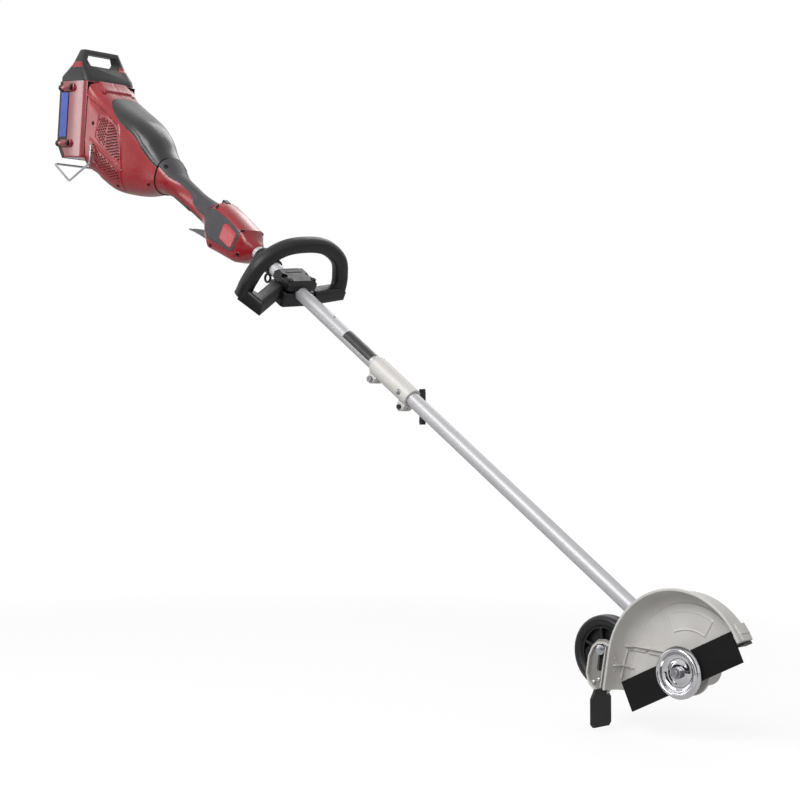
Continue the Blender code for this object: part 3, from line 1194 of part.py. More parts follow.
def guard(attachment):
    """One casting: back plate and wall swept round the blade, with its panel, ribs, pad and boss."""
    low, rim = GUARD_PLATE_OFFSET, GUARD_RIM_OFFSET
    inner = WALL_RADIUS
    outer = inner + GUARD_WALL
    wall = [(GUARD_EYE + 6 * MM, low), (outer - 2 * MM, low), (outer, low + 4 * MM),
            (outer + GUARD_DRAFT, rim - 4 * MM), (outer + GUARD_DRAFT + 1 * MM, rim - 3.5 * MM),
            (outer + GUARD_DRAFT + 1 * MM, rim), (inner + GUARD_DRAFT, rim), (inner, low + 12 * MM),
            (inner - 2.5 * MM, low + 6 * MM), (inner - 8 * MM, low + GUARD_WALL),
            (GUARD_EYE + 6 * MM, low + GUARD_WALL)]
    stations = zip(*[skirted(radius) for radius, _ in wall])
    rings = [[(x, y, height) for (x, y), (_, height) in zip(station, wall)] for station in stations]
    shell = solid("blade_guard", skin(rings), "cast_metal", attachment, (0.0, 0.0, 0.0), SIDE)
    boss = solid("guard_boss", pipe(BOSS_RADIUS, GUARD_EYE, GUARD_WALL + 1 * MM), None,
                 attachment, (0.0, -low - 0.4 * MM, 0.0), SIDE)
    r_in, r_out, first, last = SECTOR
    panel_outline = arc((0.0, 0.0), r_out, first, last, 8) + arc((0.0, 0.0), r_in, last, first, 6)
    panel = solid("guard_panel", prism(panel_outline, low + 1 * MM, low + GUARD_WALL + 1 * MM), None,
                  attachment,
                  (0.0, 0.0, 0.0), SIDE)
    join(shell, boss, panel)
    for index, (angle, near) in enumerate(((math.radians(201.0), 50 * MM), (math.radians(215.0), 84 * MM))):
        rib = solid("guard_rib_%d" % index, block(near, inner - 1 * MM, -1 * MM, 1 * MM, low + 1 * MM,
                                                  low + 9 * MM),
                    None, attachment, (0.0, 0.0, 0.0), (math.pi / 2, -angle, 0.0))
        join(shell, rib)
    first, last = GUARD_START + math.radians(0.6), GUARD_START + math.radians(13.0)
    pad_outline = (arc((0.0, 0.0), outer + GUARD_DRAFT + 2 * MM, first, last, 3)
                   + arc((0.0, 0.0), outer - 0.5 * MM, last, first, 3))
    chord = [(-0.075, -0.112), (-0.012, -0.0335), (0.03, -0.05), (0.03, -0.12)]
    below = solid("guard_chord", prism(chord, low - 5 * MM, rim), None, attachment, (0.0, 0.0, 0.0), SIDE)
    cut(shell, below)
    pad = solid("guard_pad", prism(pad_outline, low + 5 * MM, low + 26 * MM), None, attachment,
                (0.0, 0.0, 0.0), SIDE)
    join(shell, pad)


# Wheel
def bracket_and_flap(attachment):
    points = [(88.0, 6.0), (122.0, -1.0), (152.0, -5.0), (163.0, -2.0), (172.0, 8.0), (177.0, 24.0),
              (177.0, 52.0),
              (170.0, 65.0), (152.0, 76.0), (126.0, 76.0), (116.0, 60.0), (88.0, 50.0)]
    outline = [skirt_point(r * MM, t * MM) for r, t in points]
    plate = solid("wheel_bracket", prism(outline, BRACKET_BACK, BRACKET_FRONT, 0.6 * MM), "cast_metal",
                  attachment, (0.0, 0.0, 0.0), SIDE)
    slot_half = HEIGHT_BOLT_R + GAP
    start = skirt_point(SLOT_R, SLOT_T)
    slot_outline = (arc((0.0, 0.0), slot_half, math.radians(90), math.radians(270), 6)
                    + [(x + WHEEL_TRAVEL, y) for x, y in arc((0.0, 0.0), slot_half, math.radians(270),
                                                             math.radians(450), 6)])
    slot = solid("bracket_slot", prism(slot_outline, -10 * MM, 10 * MM), None, attachment,
                 (start[0], -BRACKET_FRONT, start[1]), (math.pi / 2, -(GUARD_END + math.pi / 2), 0.0))
    top = skirt_point(139.0 * MM, 63.0 * MM)
    level = frame("flap_frame", attachment, (top[0], -FLAP_SIDE, top[1]), (0.0, -SHAFT_SLOPE, 0.0))
    flange_face = FLAP_THICKNESS / 2 + GAP
    flange = solid("flap_flange", block(-flange_face - 3 * MM, -flange_face, -FLAP_WIDTH / 2 + 12 * MM,
                                        FLAP_SIDE - BRACKET_BACK - 1 * MM, -15 * MM, -1 * MM), None, level)
    room = solid("flap_room", block(-flange_face, 80 * MM, -80 * MM, 80 * MM, -FLAP_HEIGHT - 5 * MM, GAP),
                 None, level)
    cut(plate, slot, room)
    join(plate, flange)
    half, drop = FLAP_WIDTH / 2, FLAP_HEIGHT
    outline = [(-half + 9 * MM, 0.0), (-half, -13 * MM), (-half, -drop + 5 * MM), (-half + 5 * MM, -drop),
               (half - 5 * MM, -drop), (half, -drop + 5 * MM), (half, -13 * MM), (half - 9 * MM, 0.0)]
    thick = FLAP_THICKNESS / 2
    solid("debris_flap", skin([[(x, y, z) for y, z in outline] for x in (-thick, thick)]), "rubber", level)


def wheel(carrier, spin):
    bolt_x, bolt_z = skirt_point(SLOT_R, SLOT_T)
    head = BRACKET_FRONT + GAP
    solid("height_bolt", turned([(0.0, ARM_BACK - 1 * MM), (HEIGHT_BOLT_R, ARM_BACK - 1 * MM),
                                 (HEIGHT_BOLT_R, head),
                                 (HEIGHT_BOLT_R * 1.8, head), (HEIGHT_BOLT_R * 1.8, head + 4 * MM),
                                 (HEIGHT_BOLT_R * 1.2, head + 5 * MM), (0.0, head + 5 * MM)], 24),
          "bright_steel",
          carrier, (bolt_x, 0.0, bolt_z), SIDE)
    axle_x, axle_z = -WHEEL_BACK, -WHEEL_DROP
    reach = math.hypot(axle_x - bolt_x, axle_z - bolt_z)
    lean = math.atan2(axle_z - bolt_z, axle_x - bolt_x)
    end_r = 11 * MM
    outline = (arc((0.0, 0.0), end_r, math.radians(90), math.radians(270), 8)
               + [(x + reach, y) for x, y in arc((0.0, 0.0), end_r, math.radians(-90), math.radians(90), 8)])
    arm = solid("wheel_arm", prism(outline, ARM_BACK, ARM_FRONT, 0.6 * MM), "cast_metal", carrier,
                (bolt_x, 0.0, bolt_z), (math.pi / 2, -lean, 0.0))
    far = -WHEEL_OFFSET - WHEEL_WIDTH
    axle_r = AXLE_DIA / 2
    axle = solid("axle_stub", turned([(0.0, far - 5 * MM), (axle_r * 1.5, far - 5 * MM),
                                      (axle_r * 1.5, far - GAP),
                                      (axle_r, far - GAP), (axle_r, ARM_BACK + 2 * MM),
                                      (0.0, ARM_BACK + 2 * MM)], 24),
                 None, carrier, (axle_x, 0.0, axle_z), SIDE)
    hole = solid("bolt_hole", rod(HEIGHT_BOLT_R + GAP, 30 * MM, segments=24), None, carrier,
                 (bolt_x, 10 * MM, bolt_z), SIDE)
    join(arm, axle)
    cut(arm, hole)
    hub_bore = axle_r + RUN
    rim_r = WHEEL_RADIUS - 16 * MM
    mid = far + WHEEL_WIDTH / 2
    edge = WHEEL_WIDTH / 2 - 4 * MM
    solid("wheel_hub", turned([(hub_bore, far), (hub_bore + 6 * MM, far), (hub_bore + 7 * MM, mid - 4 * MM),
                               (rim_r - 4 * MM, mid - 4 * MM), (rim_r - 3 * MM, mid - edge),
                               (rim_r, mid - edge),
                               (rim_r, mid + edge), (rim_r - 3 * MM, mid + edge),
                               (rim_r - 4 * MM, mid + 4 * MM),
                               (hub_bore + 7 * MM, mid + 4 * MM), (hub_bore + 6 * MM, far + WHEEL_WIDTH),
                               (hub_bore, far + WHEEL_WIDTH)], 28, ring=True), "black_plastic", spin)
    seat = rim_r + GAP
    wide = WHEEL_WIDTH / 2
    tread = [(seat, mid - wide + 3 * MM), (seat + 4 * MM, mid - wide), (WHEEL_RADIUS - 5 * MM, mid - wide),
             (WHEEL_RADIUS - 1 * MM, mid - wide + 5 * MM), (WHEEL_RADIUS, mid),
             (WHEEL_RADIUS - 1 * MM, mid + wide - 5 * MM),
             (WHEEL_RADIUS - 5 * MM, mid + wide), (seat + 4 * MM, mid + wide), (seat, mid + wide - 3 * MM)]
    solid("wheel_tyre", turned(tread, 36, ring=True), "rubber", spin)


def build():
    clear_scene()
    tool = frame("tool_frame", None, (-GRIP_MIDDLE * math.cos(SHAFT_SLOPE), 0.0,
                                      GRIP_MIDDLE * math.sin(SHAFT_SLOPE)),
                 (0.0, SHAFT_SLOPE, 0.0))
    rotor = frame("rotor_axis", tool)
    attachment = frame("attachment_frame", tool)
    lower_shaft = frame("lower_shaft_axis", attachment)
    spindle = frame("spindle_axis", attachment, (0.0, 0.0, 0.0), SIDE)
    carrier = frame("wheel_carrier_frame", attachment)
    wheel_axis = frame("wheel_axis", carrier, (-WHEEL_BACK, 0.0, -WHEEL_DROP), SIDE)
    bay = power_head(tool)
    rotor_end = motor(tool, rotor)
    battery(bay)
    shaft(tool, rotor, rotor_end, attachment, lower_shaft)
    front_handle(tool)
    coupler(tool)
    gearbox(attachment, spindle)
    guard(attachment)
    bracket_and_flap(attachment)
    wheel(carrier, wheel_axis)


build()
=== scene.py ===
"""The finished look of a cordless lawn edger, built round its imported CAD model.

Lengths are in metres unless a name ends in _mm. The tool frame runs +x down the shaft from the blade's
axis, +y to the operator's left and +z up from the shaft. The head frame has x along the shaft, y up from
it and z out towards the blade's side.
"""

import json
import logging
import math
from dataclasses import dataclass, field
from enum import Enum

import bmesh
import bpy
import numpy as np
from bpy.types import Material, Node, NodeSocket, NodeTree, Object
from mathutils import Euler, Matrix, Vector
from mathutils.bvhtree import BVHTree
from numpy import ndarray


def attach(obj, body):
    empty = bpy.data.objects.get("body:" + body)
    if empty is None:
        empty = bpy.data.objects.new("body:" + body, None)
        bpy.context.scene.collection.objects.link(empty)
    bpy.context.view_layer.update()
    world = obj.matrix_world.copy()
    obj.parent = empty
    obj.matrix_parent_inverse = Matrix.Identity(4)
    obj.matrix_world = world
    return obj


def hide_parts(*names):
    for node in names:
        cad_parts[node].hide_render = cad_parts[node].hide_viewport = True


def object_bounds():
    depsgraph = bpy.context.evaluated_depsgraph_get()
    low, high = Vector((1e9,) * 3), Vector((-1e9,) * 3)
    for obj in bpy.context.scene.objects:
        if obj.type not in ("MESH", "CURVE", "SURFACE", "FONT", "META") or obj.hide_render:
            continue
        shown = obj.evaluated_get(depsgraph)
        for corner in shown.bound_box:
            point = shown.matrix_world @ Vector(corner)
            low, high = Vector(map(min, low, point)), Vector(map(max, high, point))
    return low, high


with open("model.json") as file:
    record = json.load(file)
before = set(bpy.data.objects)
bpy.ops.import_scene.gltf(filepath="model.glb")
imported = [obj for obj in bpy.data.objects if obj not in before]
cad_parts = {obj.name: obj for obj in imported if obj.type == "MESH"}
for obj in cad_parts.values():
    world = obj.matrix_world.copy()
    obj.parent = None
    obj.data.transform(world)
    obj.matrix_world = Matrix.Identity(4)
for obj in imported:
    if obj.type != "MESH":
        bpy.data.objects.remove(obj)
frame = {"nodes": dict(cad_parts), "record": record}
CAD_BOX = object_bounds()

LOG = logging.getLogger("lawn_edger")
MM = 0.001
Pair = tuple[float, float]
Triple = tuple[float, float, float]
Colour = tuple[float, float, float, float]
# Corners of a CAD node are one where their places round to the same step, in metres
MERGE_STEP = 2e-6
# Depth of the back of a laid strip or plate below the surface
SUNK_MM = 0.6


# Placement
@dataclass(frozen=True)
class Placement:
    """A local frame given by its origin and three axes, all in the row frame."""

    origin: ndarray
    axes: ndarray

    def place(self, points: ndarray) -> ndarray:
        """Carry local points into the row frame: origin plus the points times the axes."""
        return self.origin + points @ self.axes

    def place_mm(self, points_mm: ndarray | list | tuple) -> ndarray:
        """Carry local points given in millimetres into the row frame."""
        return self.place(np.array(points_mm, float) * MM)

    def inside(self, origin: Triple, tilt: float = 0.0, roll: float = 0.0) -> "Placement":
        """Frame held in this one: shifted to origin, then turned about the local x or y axis.

        Args:
            origin: Place of the new origin in this frame.
            tilt: Turn about y in radians, by the right-hand rule.
            roll: Turn about x in radians, by the right-hand rule.

        Returns:
            The new placement.
        """
        c, s = math.cos(tilt), math.sin(tilt)
        tilted = np.array([[c, 0.0, -s], [0.0, 1.0, 0.0], [s, 0.0, c]])
        c, s = math.cos(roll), math.sin(roll)
        rolled = np.array([[1.0, 0.0, 0.0], [0.0, c, s], [0.0, -s, c]])
        return Placement(self.place(np.array(origin)), tilted @ rolled @ self.axes)

    def toward(self, x: float, y: float, z: float) -> ndarray:
        """Direction given in this frame as a unit vector of the row frame."""
        found = np.array([x, y, z]) @ self.axes
        return found / np.linalg.norm(found)


SLOPE = math.radians(35.0)
GRIP_MIDDLE = -1317.0 * MM
_COS, _SIN = math.cos(SLOPE), math.sin(SLOPE)
TOOL = Placement(np.array([-GRIP_MIDDLE * _COS, 0.0, GRIP_MIDDLE * _SIN]),
                 np.array([[_COS, 0.0, -_SIN], [0.0, 1.0, 0.0], [_SIN, 0.0, _COS]]))
HEAD = Placement(TOOL.origin, np.array([[_COS, 0.0, -_SIN], [_SIN, 0.0, _COS], [0.0, -1.0, 0.0]]))
BAY = TOOL.inside((-1634.0 * MM, 0.0, -19.9 * MM), -math.radians(29.0))
HANDLE = TOOL.inside((-1011.0 * MM, 0.0, 0.0), roll=math.radians(6.0))
LOOP = HANDLE.inside((1.0 * MM, 0.0, 0.0), -math.radians(3.7))
NECK = -1396.0 * MM


# Meshes
def mesh_object(name: str, points: ndarray, faces: ndarray | list) -> Object:
    """Make a linked object from points and faces, its place in its mesh.

    Args:
        name: Piece name.
        points: (n, 3) array in the row frame.
        faces: (m, k) array or list of corner numbers.

    Returns:
        The new object.
    """
    mesh = bpy.data.meshes.new(name)
    listed = faces.tolist() if isinstance(faces, ndarray) else faces
    mesh.from_pydata(points.tolist(), [], listed)
    mesh.update()
    obj = bpy.data.objects.new(name, mesh)
    bpy.context.scene.collection.objects.link(obj)
    return obj


def grid_faces(rows: int, cols: int, ring_rows: bool = False, ring_cols: bool = False) -> ndarray:
    """Corner numbers of the quads between neighbouring grid points, row by row.

    Args:
        rows: Number of rows.
        cols: Number of columns.
        ring_rows: Whether the last row joins the first.
        ring_cols: Whether the last column joins the first.

    Returns:
        (m, 4) array of corner numbers.
    """
    r = np.arange(rows if ring_rows else rows - 1)
    c = np.arange(cols if ring_cols else cols - 1)
    rr, cc = np.meshgrid(r, c, indexing="ij")
    r2, c2 = (rr + 1) % rows, (cc + 1) % cols
    quads = np.stack([rr * cols + cc, rr * cols + c2, r2 * cols + c2, r2 * cols + cc], axis=-1)
    return quads.reshape(-1, 4)


def surface(name: str, grid: ndarray, ring_rows: bool = False, ring_cols: bool = False,
            capped: bool = False) -> Object:
    """Make a piece from a grid of points, turned so that its faces point outwards.

    Args:
        name: Piece name.
        grid: (rows, cols, 3) array in the row frame.
        ring_rows: Whether the last row joins the first.
        ring_cols: Whether the last column joins the first.
        capped: Whether the first and last rows are closed with a flat face.

    Returns:
        The new object.
    """
    rows, cols = grid.shape[:2]
    faces = grid_faces(rows, cols, ring_rows, ring_cols).tolist()
    if capped:
        faces.append(list(range(cols))[::-1])
        faces.append(list(range((rows - 1) * cols, rows * cols)))
    obj = mesh_object(name, grid.reshape(-1, 3), faces)
    face_outwards(obj)
    return obj


def face_outwards(obj: Object, merge: float = 1e-6) -> None:
    """Merge doubled points and turn all faces outwards.

    Args:
        obj: The piece.
        merge: Distance under which points are merged.
    """
    work = bmesh.new()
    work.from_mesh(obj.data)
    bmesh.ops.remove_doubles(work, verts=work.verts, dist=merge)
    bmesh.ops.recalc_face_normals(work, faces=work.faces)
    work.to_mesh(obj.data)
    work.free()


def revolve(profile_mm: list[Pair], where: Placement, center: Triple,
            axis: str = "z", segments: int = 64) -> ndarray:
    """Grid of a profile turned about an axis: each (radius, height) pair becomes a circle.

    Args:
        profile_mm: (radius, height) pairs.
        where: Frame of the axis.
        center: Foot of the axis in that frame, in metres.
        axis: Local axis that the heights run along, x or z.
        segments: Number of steps round.

    Returns:
        (profile, segments, 3) array in the row frame.
    """
    profile = np.array(profile_mm) * MM
    turn = np.linspace(0.0, 2 * np.pi, segments, endpoint=False)
    c = profile[:, :1] * np.cos(turn)
    s = profile[:, :1] * np.sin(turn)
    h = np.broadcast_to(profile[:, 1:], c.shape)
    order = {"z": (c, s, h), "x": (h, c, s)}[axis]
    return where.place(np.stack(order, axis=-1) + np.array(center))


def sweep(path: ndarray, section: ndarray, up: ndarray) -> ndarray:
    """Grid of a section carried along a path: each point adds side and rise times the section's pairs.

    Args:
        path: (n, 3) array of points.
        section: (m, 2) array of (side, rise) pairs, or (n, m, 2) for one section a point.
        up: Direction that rise leans to.

    Returns:
        (n, m, 3) array.
    """
    tangent = np.gradient(path, axis=0)
    tangent /= np.linalg.norm(tangent, axis=1, keepdims=True)
    side = np.cross(tangent, up)
    side /= np.linalg.norm(side, axis=1, keepdims=True)
    rise = np.cross(side, tangent)
    if section.ndim == 2:
        section = np.broadcast_to(section, (len(path),) + section.shape)
    return (path[:, None, :] + side[:, None, :] * section[:, :, :1] + rise[:, None, :] * section[:, :, 1:])


def curve_at(rows: ndarray, places: ndarray) -> ndarray:
    """Values of the cubic through listed rows at real-numbered places, each span shaped by four neighbours.

    Args:
        rows: (n, d) array of values.
        places: (m,) array from 0 to n - 1.

    Returns:
        (m, d) array.
    """
    last = len(rows) - 1
    k = np.clip(places.astype(int), 0, last - 1)
    t = (places - k)[:, None]
    a, b, c, d = (rows[np.clip(k + step, 0, last)] for step in (-1, 0, 1, 2))
    bend, twist = 2 * a - 5 * b + 4 * c - d, 3 * b - a - 3 * c + d
    return 0.5 * (2 * b + (c - a) * t + bend * t ** 2 + twist * t ** 3)


def merged_copy(node: str, name: str) -> Object:
    """Copy of a CAD node whose loose triangles are joined at their shared corners.

    Corners are shared where their places, rounded to MERGE_STEP, are the same.

    Args:
        node: CAD node to copy.
        name: Name of the copy.

    Returns:
        The copy, not yet dressed.
    """
    source = frame["nodes"][node].data
    points = np.empty(len(source.vertices) * 3, np.float32)
    source.vertices.foreach_get("co", points)
    corners = np.empty(len(source.loops), np.int32)
    source.loops.foreach_get("vertex_index", corners)
    keys = np.round(points.reshape(-1, 3) / MERGE_STEP).astype(np.int64)
    _, first, back = np.unique(keys, axis=0, return_index=True, return_inverse=True)
    triangles = back.reshape(-1)[corners].reshape(-1, 3)
    real = ((triangles[:, 0] != triangles[:, 1]) & (triangles[:, 1] != triangles[:, 2])
            & (triangles[:, 0] != triangles[:, 2]))
    return mesh_object(name, points.reshape(-1, 3)[first].astype(float), triangles[real])


def finish_shading(obj: Object, angle_deg: float) -> None:
    """Shade a piece smooth, with edges steeper than the angle kept sharp."""
    obj.data.shade_smooth()
    obj.data.set_sharp_from_angle(angle=math.radians(angle_deg))


def soften_edges(obj: Object, width_mm: float, angle_deg: float = 38.0, segments: int = 2) -> None:
    """Round a piece's sharp edges with a bevel.

    Args:
        obj: The piece.
        width_mm: Bevel width.
        angle_deg: Edges flatter than this stay as they are.
        segments: Steps across the bevel.
    """
    step = obj.modifiers.new("edge_break", "BEVEL")
    step.width = width_mm * MM
    step.segments = segments
    step.limit_method = "ANGLE"
    step.angle_limit = math.radians(angle_deg)
    step.miter_outer = "MITER_ARC"


def dress(obj: Object, stock: "Stock", body: str, crease_deg: float | None = None,
          replaces: tuple[str, ...] = ()) -> Object:
    """Give a piece its shading, material and body, and hide the CAD nodes that it stands for.

    Args:
        obj: The finished mesh.
        stock: Finish whose material it gets.
        body: CAD body it moves with.
        crease_deg: Edges steeper than this stay sharp, or None for flat faces.
        replaces: CAD nodes that it hides.

    Returns:
        The same object.
    """
    if crease_deg is not None:
        finish_shading(obj, crease_deg)
    finish = stock.value
    obj.data.materials.clear()
    obj.data.materials.append(finish.material())
    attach(obj, body)
    if replaces:
        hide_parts(*replaces)
    LOG.info("%s: %s on %s", obj.name, finish.name, body)
    return obj


# Reliefs
class Skin:
    """Outer surface that details are laid on: rays from well outside find the surface and its normal."""

    def __init__(self, points: ndarray, faces: ndarray) -> None:
        """Build the search tree of a mesh."""
        self.tree = BVHTree.FromPolygons(points.tolist(), faces.tolist())

    @classmethod
    def of(cls, *objects: Object) -> "Skin":
        """Skin of the given objects' own meshes, taken together.

        Args:
            objects: One or more mesh objects.

        Returns:
            The skin.
        """
        points, faces, base = [], [], 0
        for obj in objects:
            mesh = obj.data
            flat = np.empty(len(mesh.vertices) * 3, np.float32)
            mesh.vertices.foreach_get("co", flat)
            mesh.calc_loop_triangles()
            corners = np.empty(len(mesh.loop_triangles) * 3, np.int32)
            mesh.loop_triangles.foreach_get("vertices", corners)
            points.append(flat.reshape(-1, 3))
            faces.append(corners.reshape(-1, 3) + base)
            base += len(mesh.vertices)
        return cls(np.concatenate(points), np.concatenate(faces))

    @classmethod
    def of_nodes(cls, *nodes: str) -> "Skin":
        """Skin of the given CAD nodes, taken together."""
        return cls.of(*(frame["nodes"][node] for node in nodes))

    def drop(self, points: ndarray, toward: ndarray, reach: float = 0.35) -> tuple[ndarray, ndarray]:
        """Carry points along a direction to where they meet the surface.

        Each ray starts reach before its point. A ray that meets nothing ends at the surface's point
        nearest to where the other rays end.

        Args:
            points: (..., 3) array.
            toward: One direction, or one for each point.
            reach: How far before the point its ray starts.

        Returns:
            The points on the surface and the outward normals there.
        """
        flat = points.reshape(-1, 3)
        ways = np.broadcast_to(toward, points.shape).reshape(-1, 3)
        starts = flat - ways * reach
        hits, normals = np.zeros_like(flat), np.zeros_like(flat)
        ahead = np.full(len(flat), np.nan)
        for k, (start, way) in enumerate(zip(starts, ways)):
            hit, normal, _, distance = self.tree.ray_cast(Vector(start), Vector(way))
            if hit is not None:
                hits[k], normals[k], ahead[k] = hit, normal, distance
        usual = np.nanmedian(ahead)
        for k in np.flatnonzero(np.isnan(ahead)):
            hit, normal, _, _ = self.tree.find_nearest(Vector(starts[k] + ways[k] * usual))
            hits[k], normals[k] = hit, normal
        normals *= np.where((normals * ways).sum(axis=1, keepdims=True) > 0, -1.0, 1.0)
        return hits.reshape(points.shape), normals.reshape(points.shape)


def stepped(corners: ndarray, step_mm: float) -> ndarray:
    """Points evenly spaced on the straight lines between corners, the corners among them.

    Args:
        corners: (n, 3) array in metres.
        step_mm: Greatest distance wanted between neighbours.

    Returns:
        (m, 3) array.
    """
    pieces = []
    for start, stop in zip(corners[:-1], corners[1:]):
        count = max(int(np.linalg.norm(stop - start) / (step_mm * MM)), 1)
        pieces.append(start + (stop - start) * np.linspace(0.0, 1.0, count, endpoint=False)[:, None])
    return np.concatenate(pieces + [corners[-1:]])


# Profiles across a laid strip: share of the width, and lift as a share of the height
DOME = ((0.0, -0.6), (0.1, 0.45), (0.3, 0.9), (0.5, 1.0), (0.7, 0.9), (0.9, 0.45), (1.0, -0.6))
PLATE = ((0.0, -0.9), (0.03, 0.6), (0.08, 1.0), (0.25, 1.0), (0.42, 1.0), (0.58, 1.0), (0.75, 1.0),
         (0.92, 1.0), (0.97, 0.6), (1.0, -0.9))


def band(name: str, skin: Skin, first: ndarray, second: ndarray, toward: ndarray, height_mm: float,
         profile: tuple = PLATE) -> Object:
    """Closed strip laid on a surface between two edges, as thick as its profile says.

    Across the strip each profile pair (share, lift) puts a point at that share of the way between the
    edges, lifted along the surface's normal by lift times the height. Its back lies in the surface.

    Args:
        name: Piece name.
        skin: Surface below.
        first: (n, 3) points of one edge, before they are dropped.
        second: (n, 3) points of the other edge.
        toward: Direction in which the points drop to the surface, or one for each pair of points.
        height_mm: Thickness above the surface.
        profile: (share, lift) pairs.

    Returns:
        The strip.
    """
    shares = np.array([share for share, _ in profile])[None, :, None]
    lifts = np.array([lift for _, lift in profile])[None, :, None] * height_mm * MM
    across = first[:, None, :] * (1.0 - shares) + second[:, None, :] * shares
    ways = toward if toward.ndim == 1 else toward[:, None, :]
    hits, normals = skin.drop(across, ways)
    front = hits + normals * lifts
    back = (hits - normals * (height_mm + SUNK_MM) * MM)[:, ::-1]
    return surface(name, np.concatenate([front, back], axis=1), ring_cols=True, capped=True)


def ridge(name: str, skin: Skin, corners: ndarray, toward: ndarray, width_mm: float, height_mm: float,
          profile: tuple = DOME, step_mm: float = 2.0) -> Object:
    """Rounded bead laid on a surface along a line of corners.

    Args:
        name: Piece name.
        skin: Surface below.
        corners: (n, 3) points of the middle line.
        toward: Direction in which it drops to the surface.
        width_mm: Width of the bead.
        height_mm: Height of the bead.
        profile: (share, lift) pairs across it.
        step_mm: Distance between its rows.

    Returns:
        The bead.
    """
    line = stepped(corners, step_mm)
    side = np.cross(np.gradient(line, axis=0), toward)
    side *= 0.5 * width_mm * MM / np.linalg.norm(side, axis=1, keepdims=True)
    return band(name, skin, line - side, line + side, toward, height_mm, profile)


def patch(name: str, skin: Skin, outline: ndarray, toward: ndarray, height_mm: float,
          edge_share: float = 0.04) -> Object:
    """Closed plate laid on a surface inside an outline, its rim rounded over.

    Rings shrink from the outline to its middle. The outermost lies in the surface, the next is lifted
    to half the height and the rest to the full height.

    Args:
        name: Piece name.
        skin: Surface below.
        outline: (n, 3) closed outline, before it is dropped.
        toward: Direction in which it drops.
        height_mm: Thickness above the surface.
        edge_share: Share of the plate's size that its rounded rim takes.

    Returns:
        The plate.
    """
    middle = outline.mean(axis=0)
    scales = np.array([1.0, 1.0 - edge_share * 0.3, 1.0 - edge_share, 0.86, 0.7, 0.5, 0.3, 0.12, 0.0])
    lifts = np.array([-0.8, 0.6, 1.0, 1.0, 1.0, 1.0, 1.0, 1.0, 1.0]) * height_mm * MM
    rings = middle + (outline - middle)[None, :, :] * scales[:, None, None]
    hits, normals = skin.drop(rings, toward)
    front = hits + normals * lifts[:, None, None]
    back = (hits - normals * (height_mm + SUNK_MM) * MM)[::-1]
    return surface(name, np.concatenate([front, back]), ring_cols=True)


def stamp(name: str, profile_mm: list[Pair], places: ndarray, normals: ndarray,
          segments: int = 12) -> Object:
    """One object of many small turned shapes, each standing on its place along its normal.

    Args:
        name: Piece name.
        profile_mm: (radius, height) pairs, the first and last on the axis.
        places: (n, 3) feet.
        normals: (n, 3) axes.
        segments: Steps round each shape.

    Returns:
        The object.
    """
    points, faces, base = [], [], 0
    for place, normal in zip(places, normals):
        aside = np.cross(normal, [0.0, 0.0, 1.0] if abs(normal[2]) < 0.9 else [0.0, 1.0, 0.0])
        aside /= np.linalg.norm(aside)
        where = Placement(place, np.array([aside, np.cross(normal, aside), normal]))
        grid = revolve(profile_mm, where, (0.0, 0.0, 0.0), "z", segments)
        points.append(grid.reshape(-1, 3))
        faces.append(grid_faces(grid.shape[0], segments, ring_cols=True) + base)
        base += grid.shape[0] * segments
    obj = mesh_object(name, np.concatenate(points), np.concatenate(faces))
    face_outwards(obj)
    return obj


def inside_by(points: ndarray, outline: ndarray) -> ndarray:
    """Distance of flat points inside a closed outline, negative outside it.

    The distance is the least over the outline's sides. A point is inside where a level ray from it
    crosses the outline an odd number of times.

    Args:
        points: (..., 2) array.
        outline: (n, 2) corners.

    Returns:
        Array of distances in the unit of the points.
    """
    start, stop = outline, np.roll(outline, -1, axis=0)
    least = np.full(points.shape[:-1], np.inf)
    odd = np.zeros(points.shape[:-1], bool)
    for a, b in zip(start, stop):
        along = b - a
        share = np.clip(((points - a) @ along) / (along @ along), 0.0, 1.0)
        least = np.minimum(least, np.linalg.norm(points - a - share[..., None] * along, axis=-1))
        if a[1] != b[1]:
            crossing = a[0] + (points[..., 1] - a[1]) * along[0] / along[1]
            odd ^= ((points[..., 1] > min(a[1], b[1])) & (points[..., 1] <= max(a[1], b[1]))
                    & (points[..., 0] < crossing))
    return np.where(odd, least, -least)


def eased(value: ndarray) -> ndarray:
    """Smooth step: 0 below 0, 1 above 1, and three v squared less two v cubed between."""
    v = np.clip(value, 0.0, 1.0)
    return v * v * (3.0 - 2.0 * v)


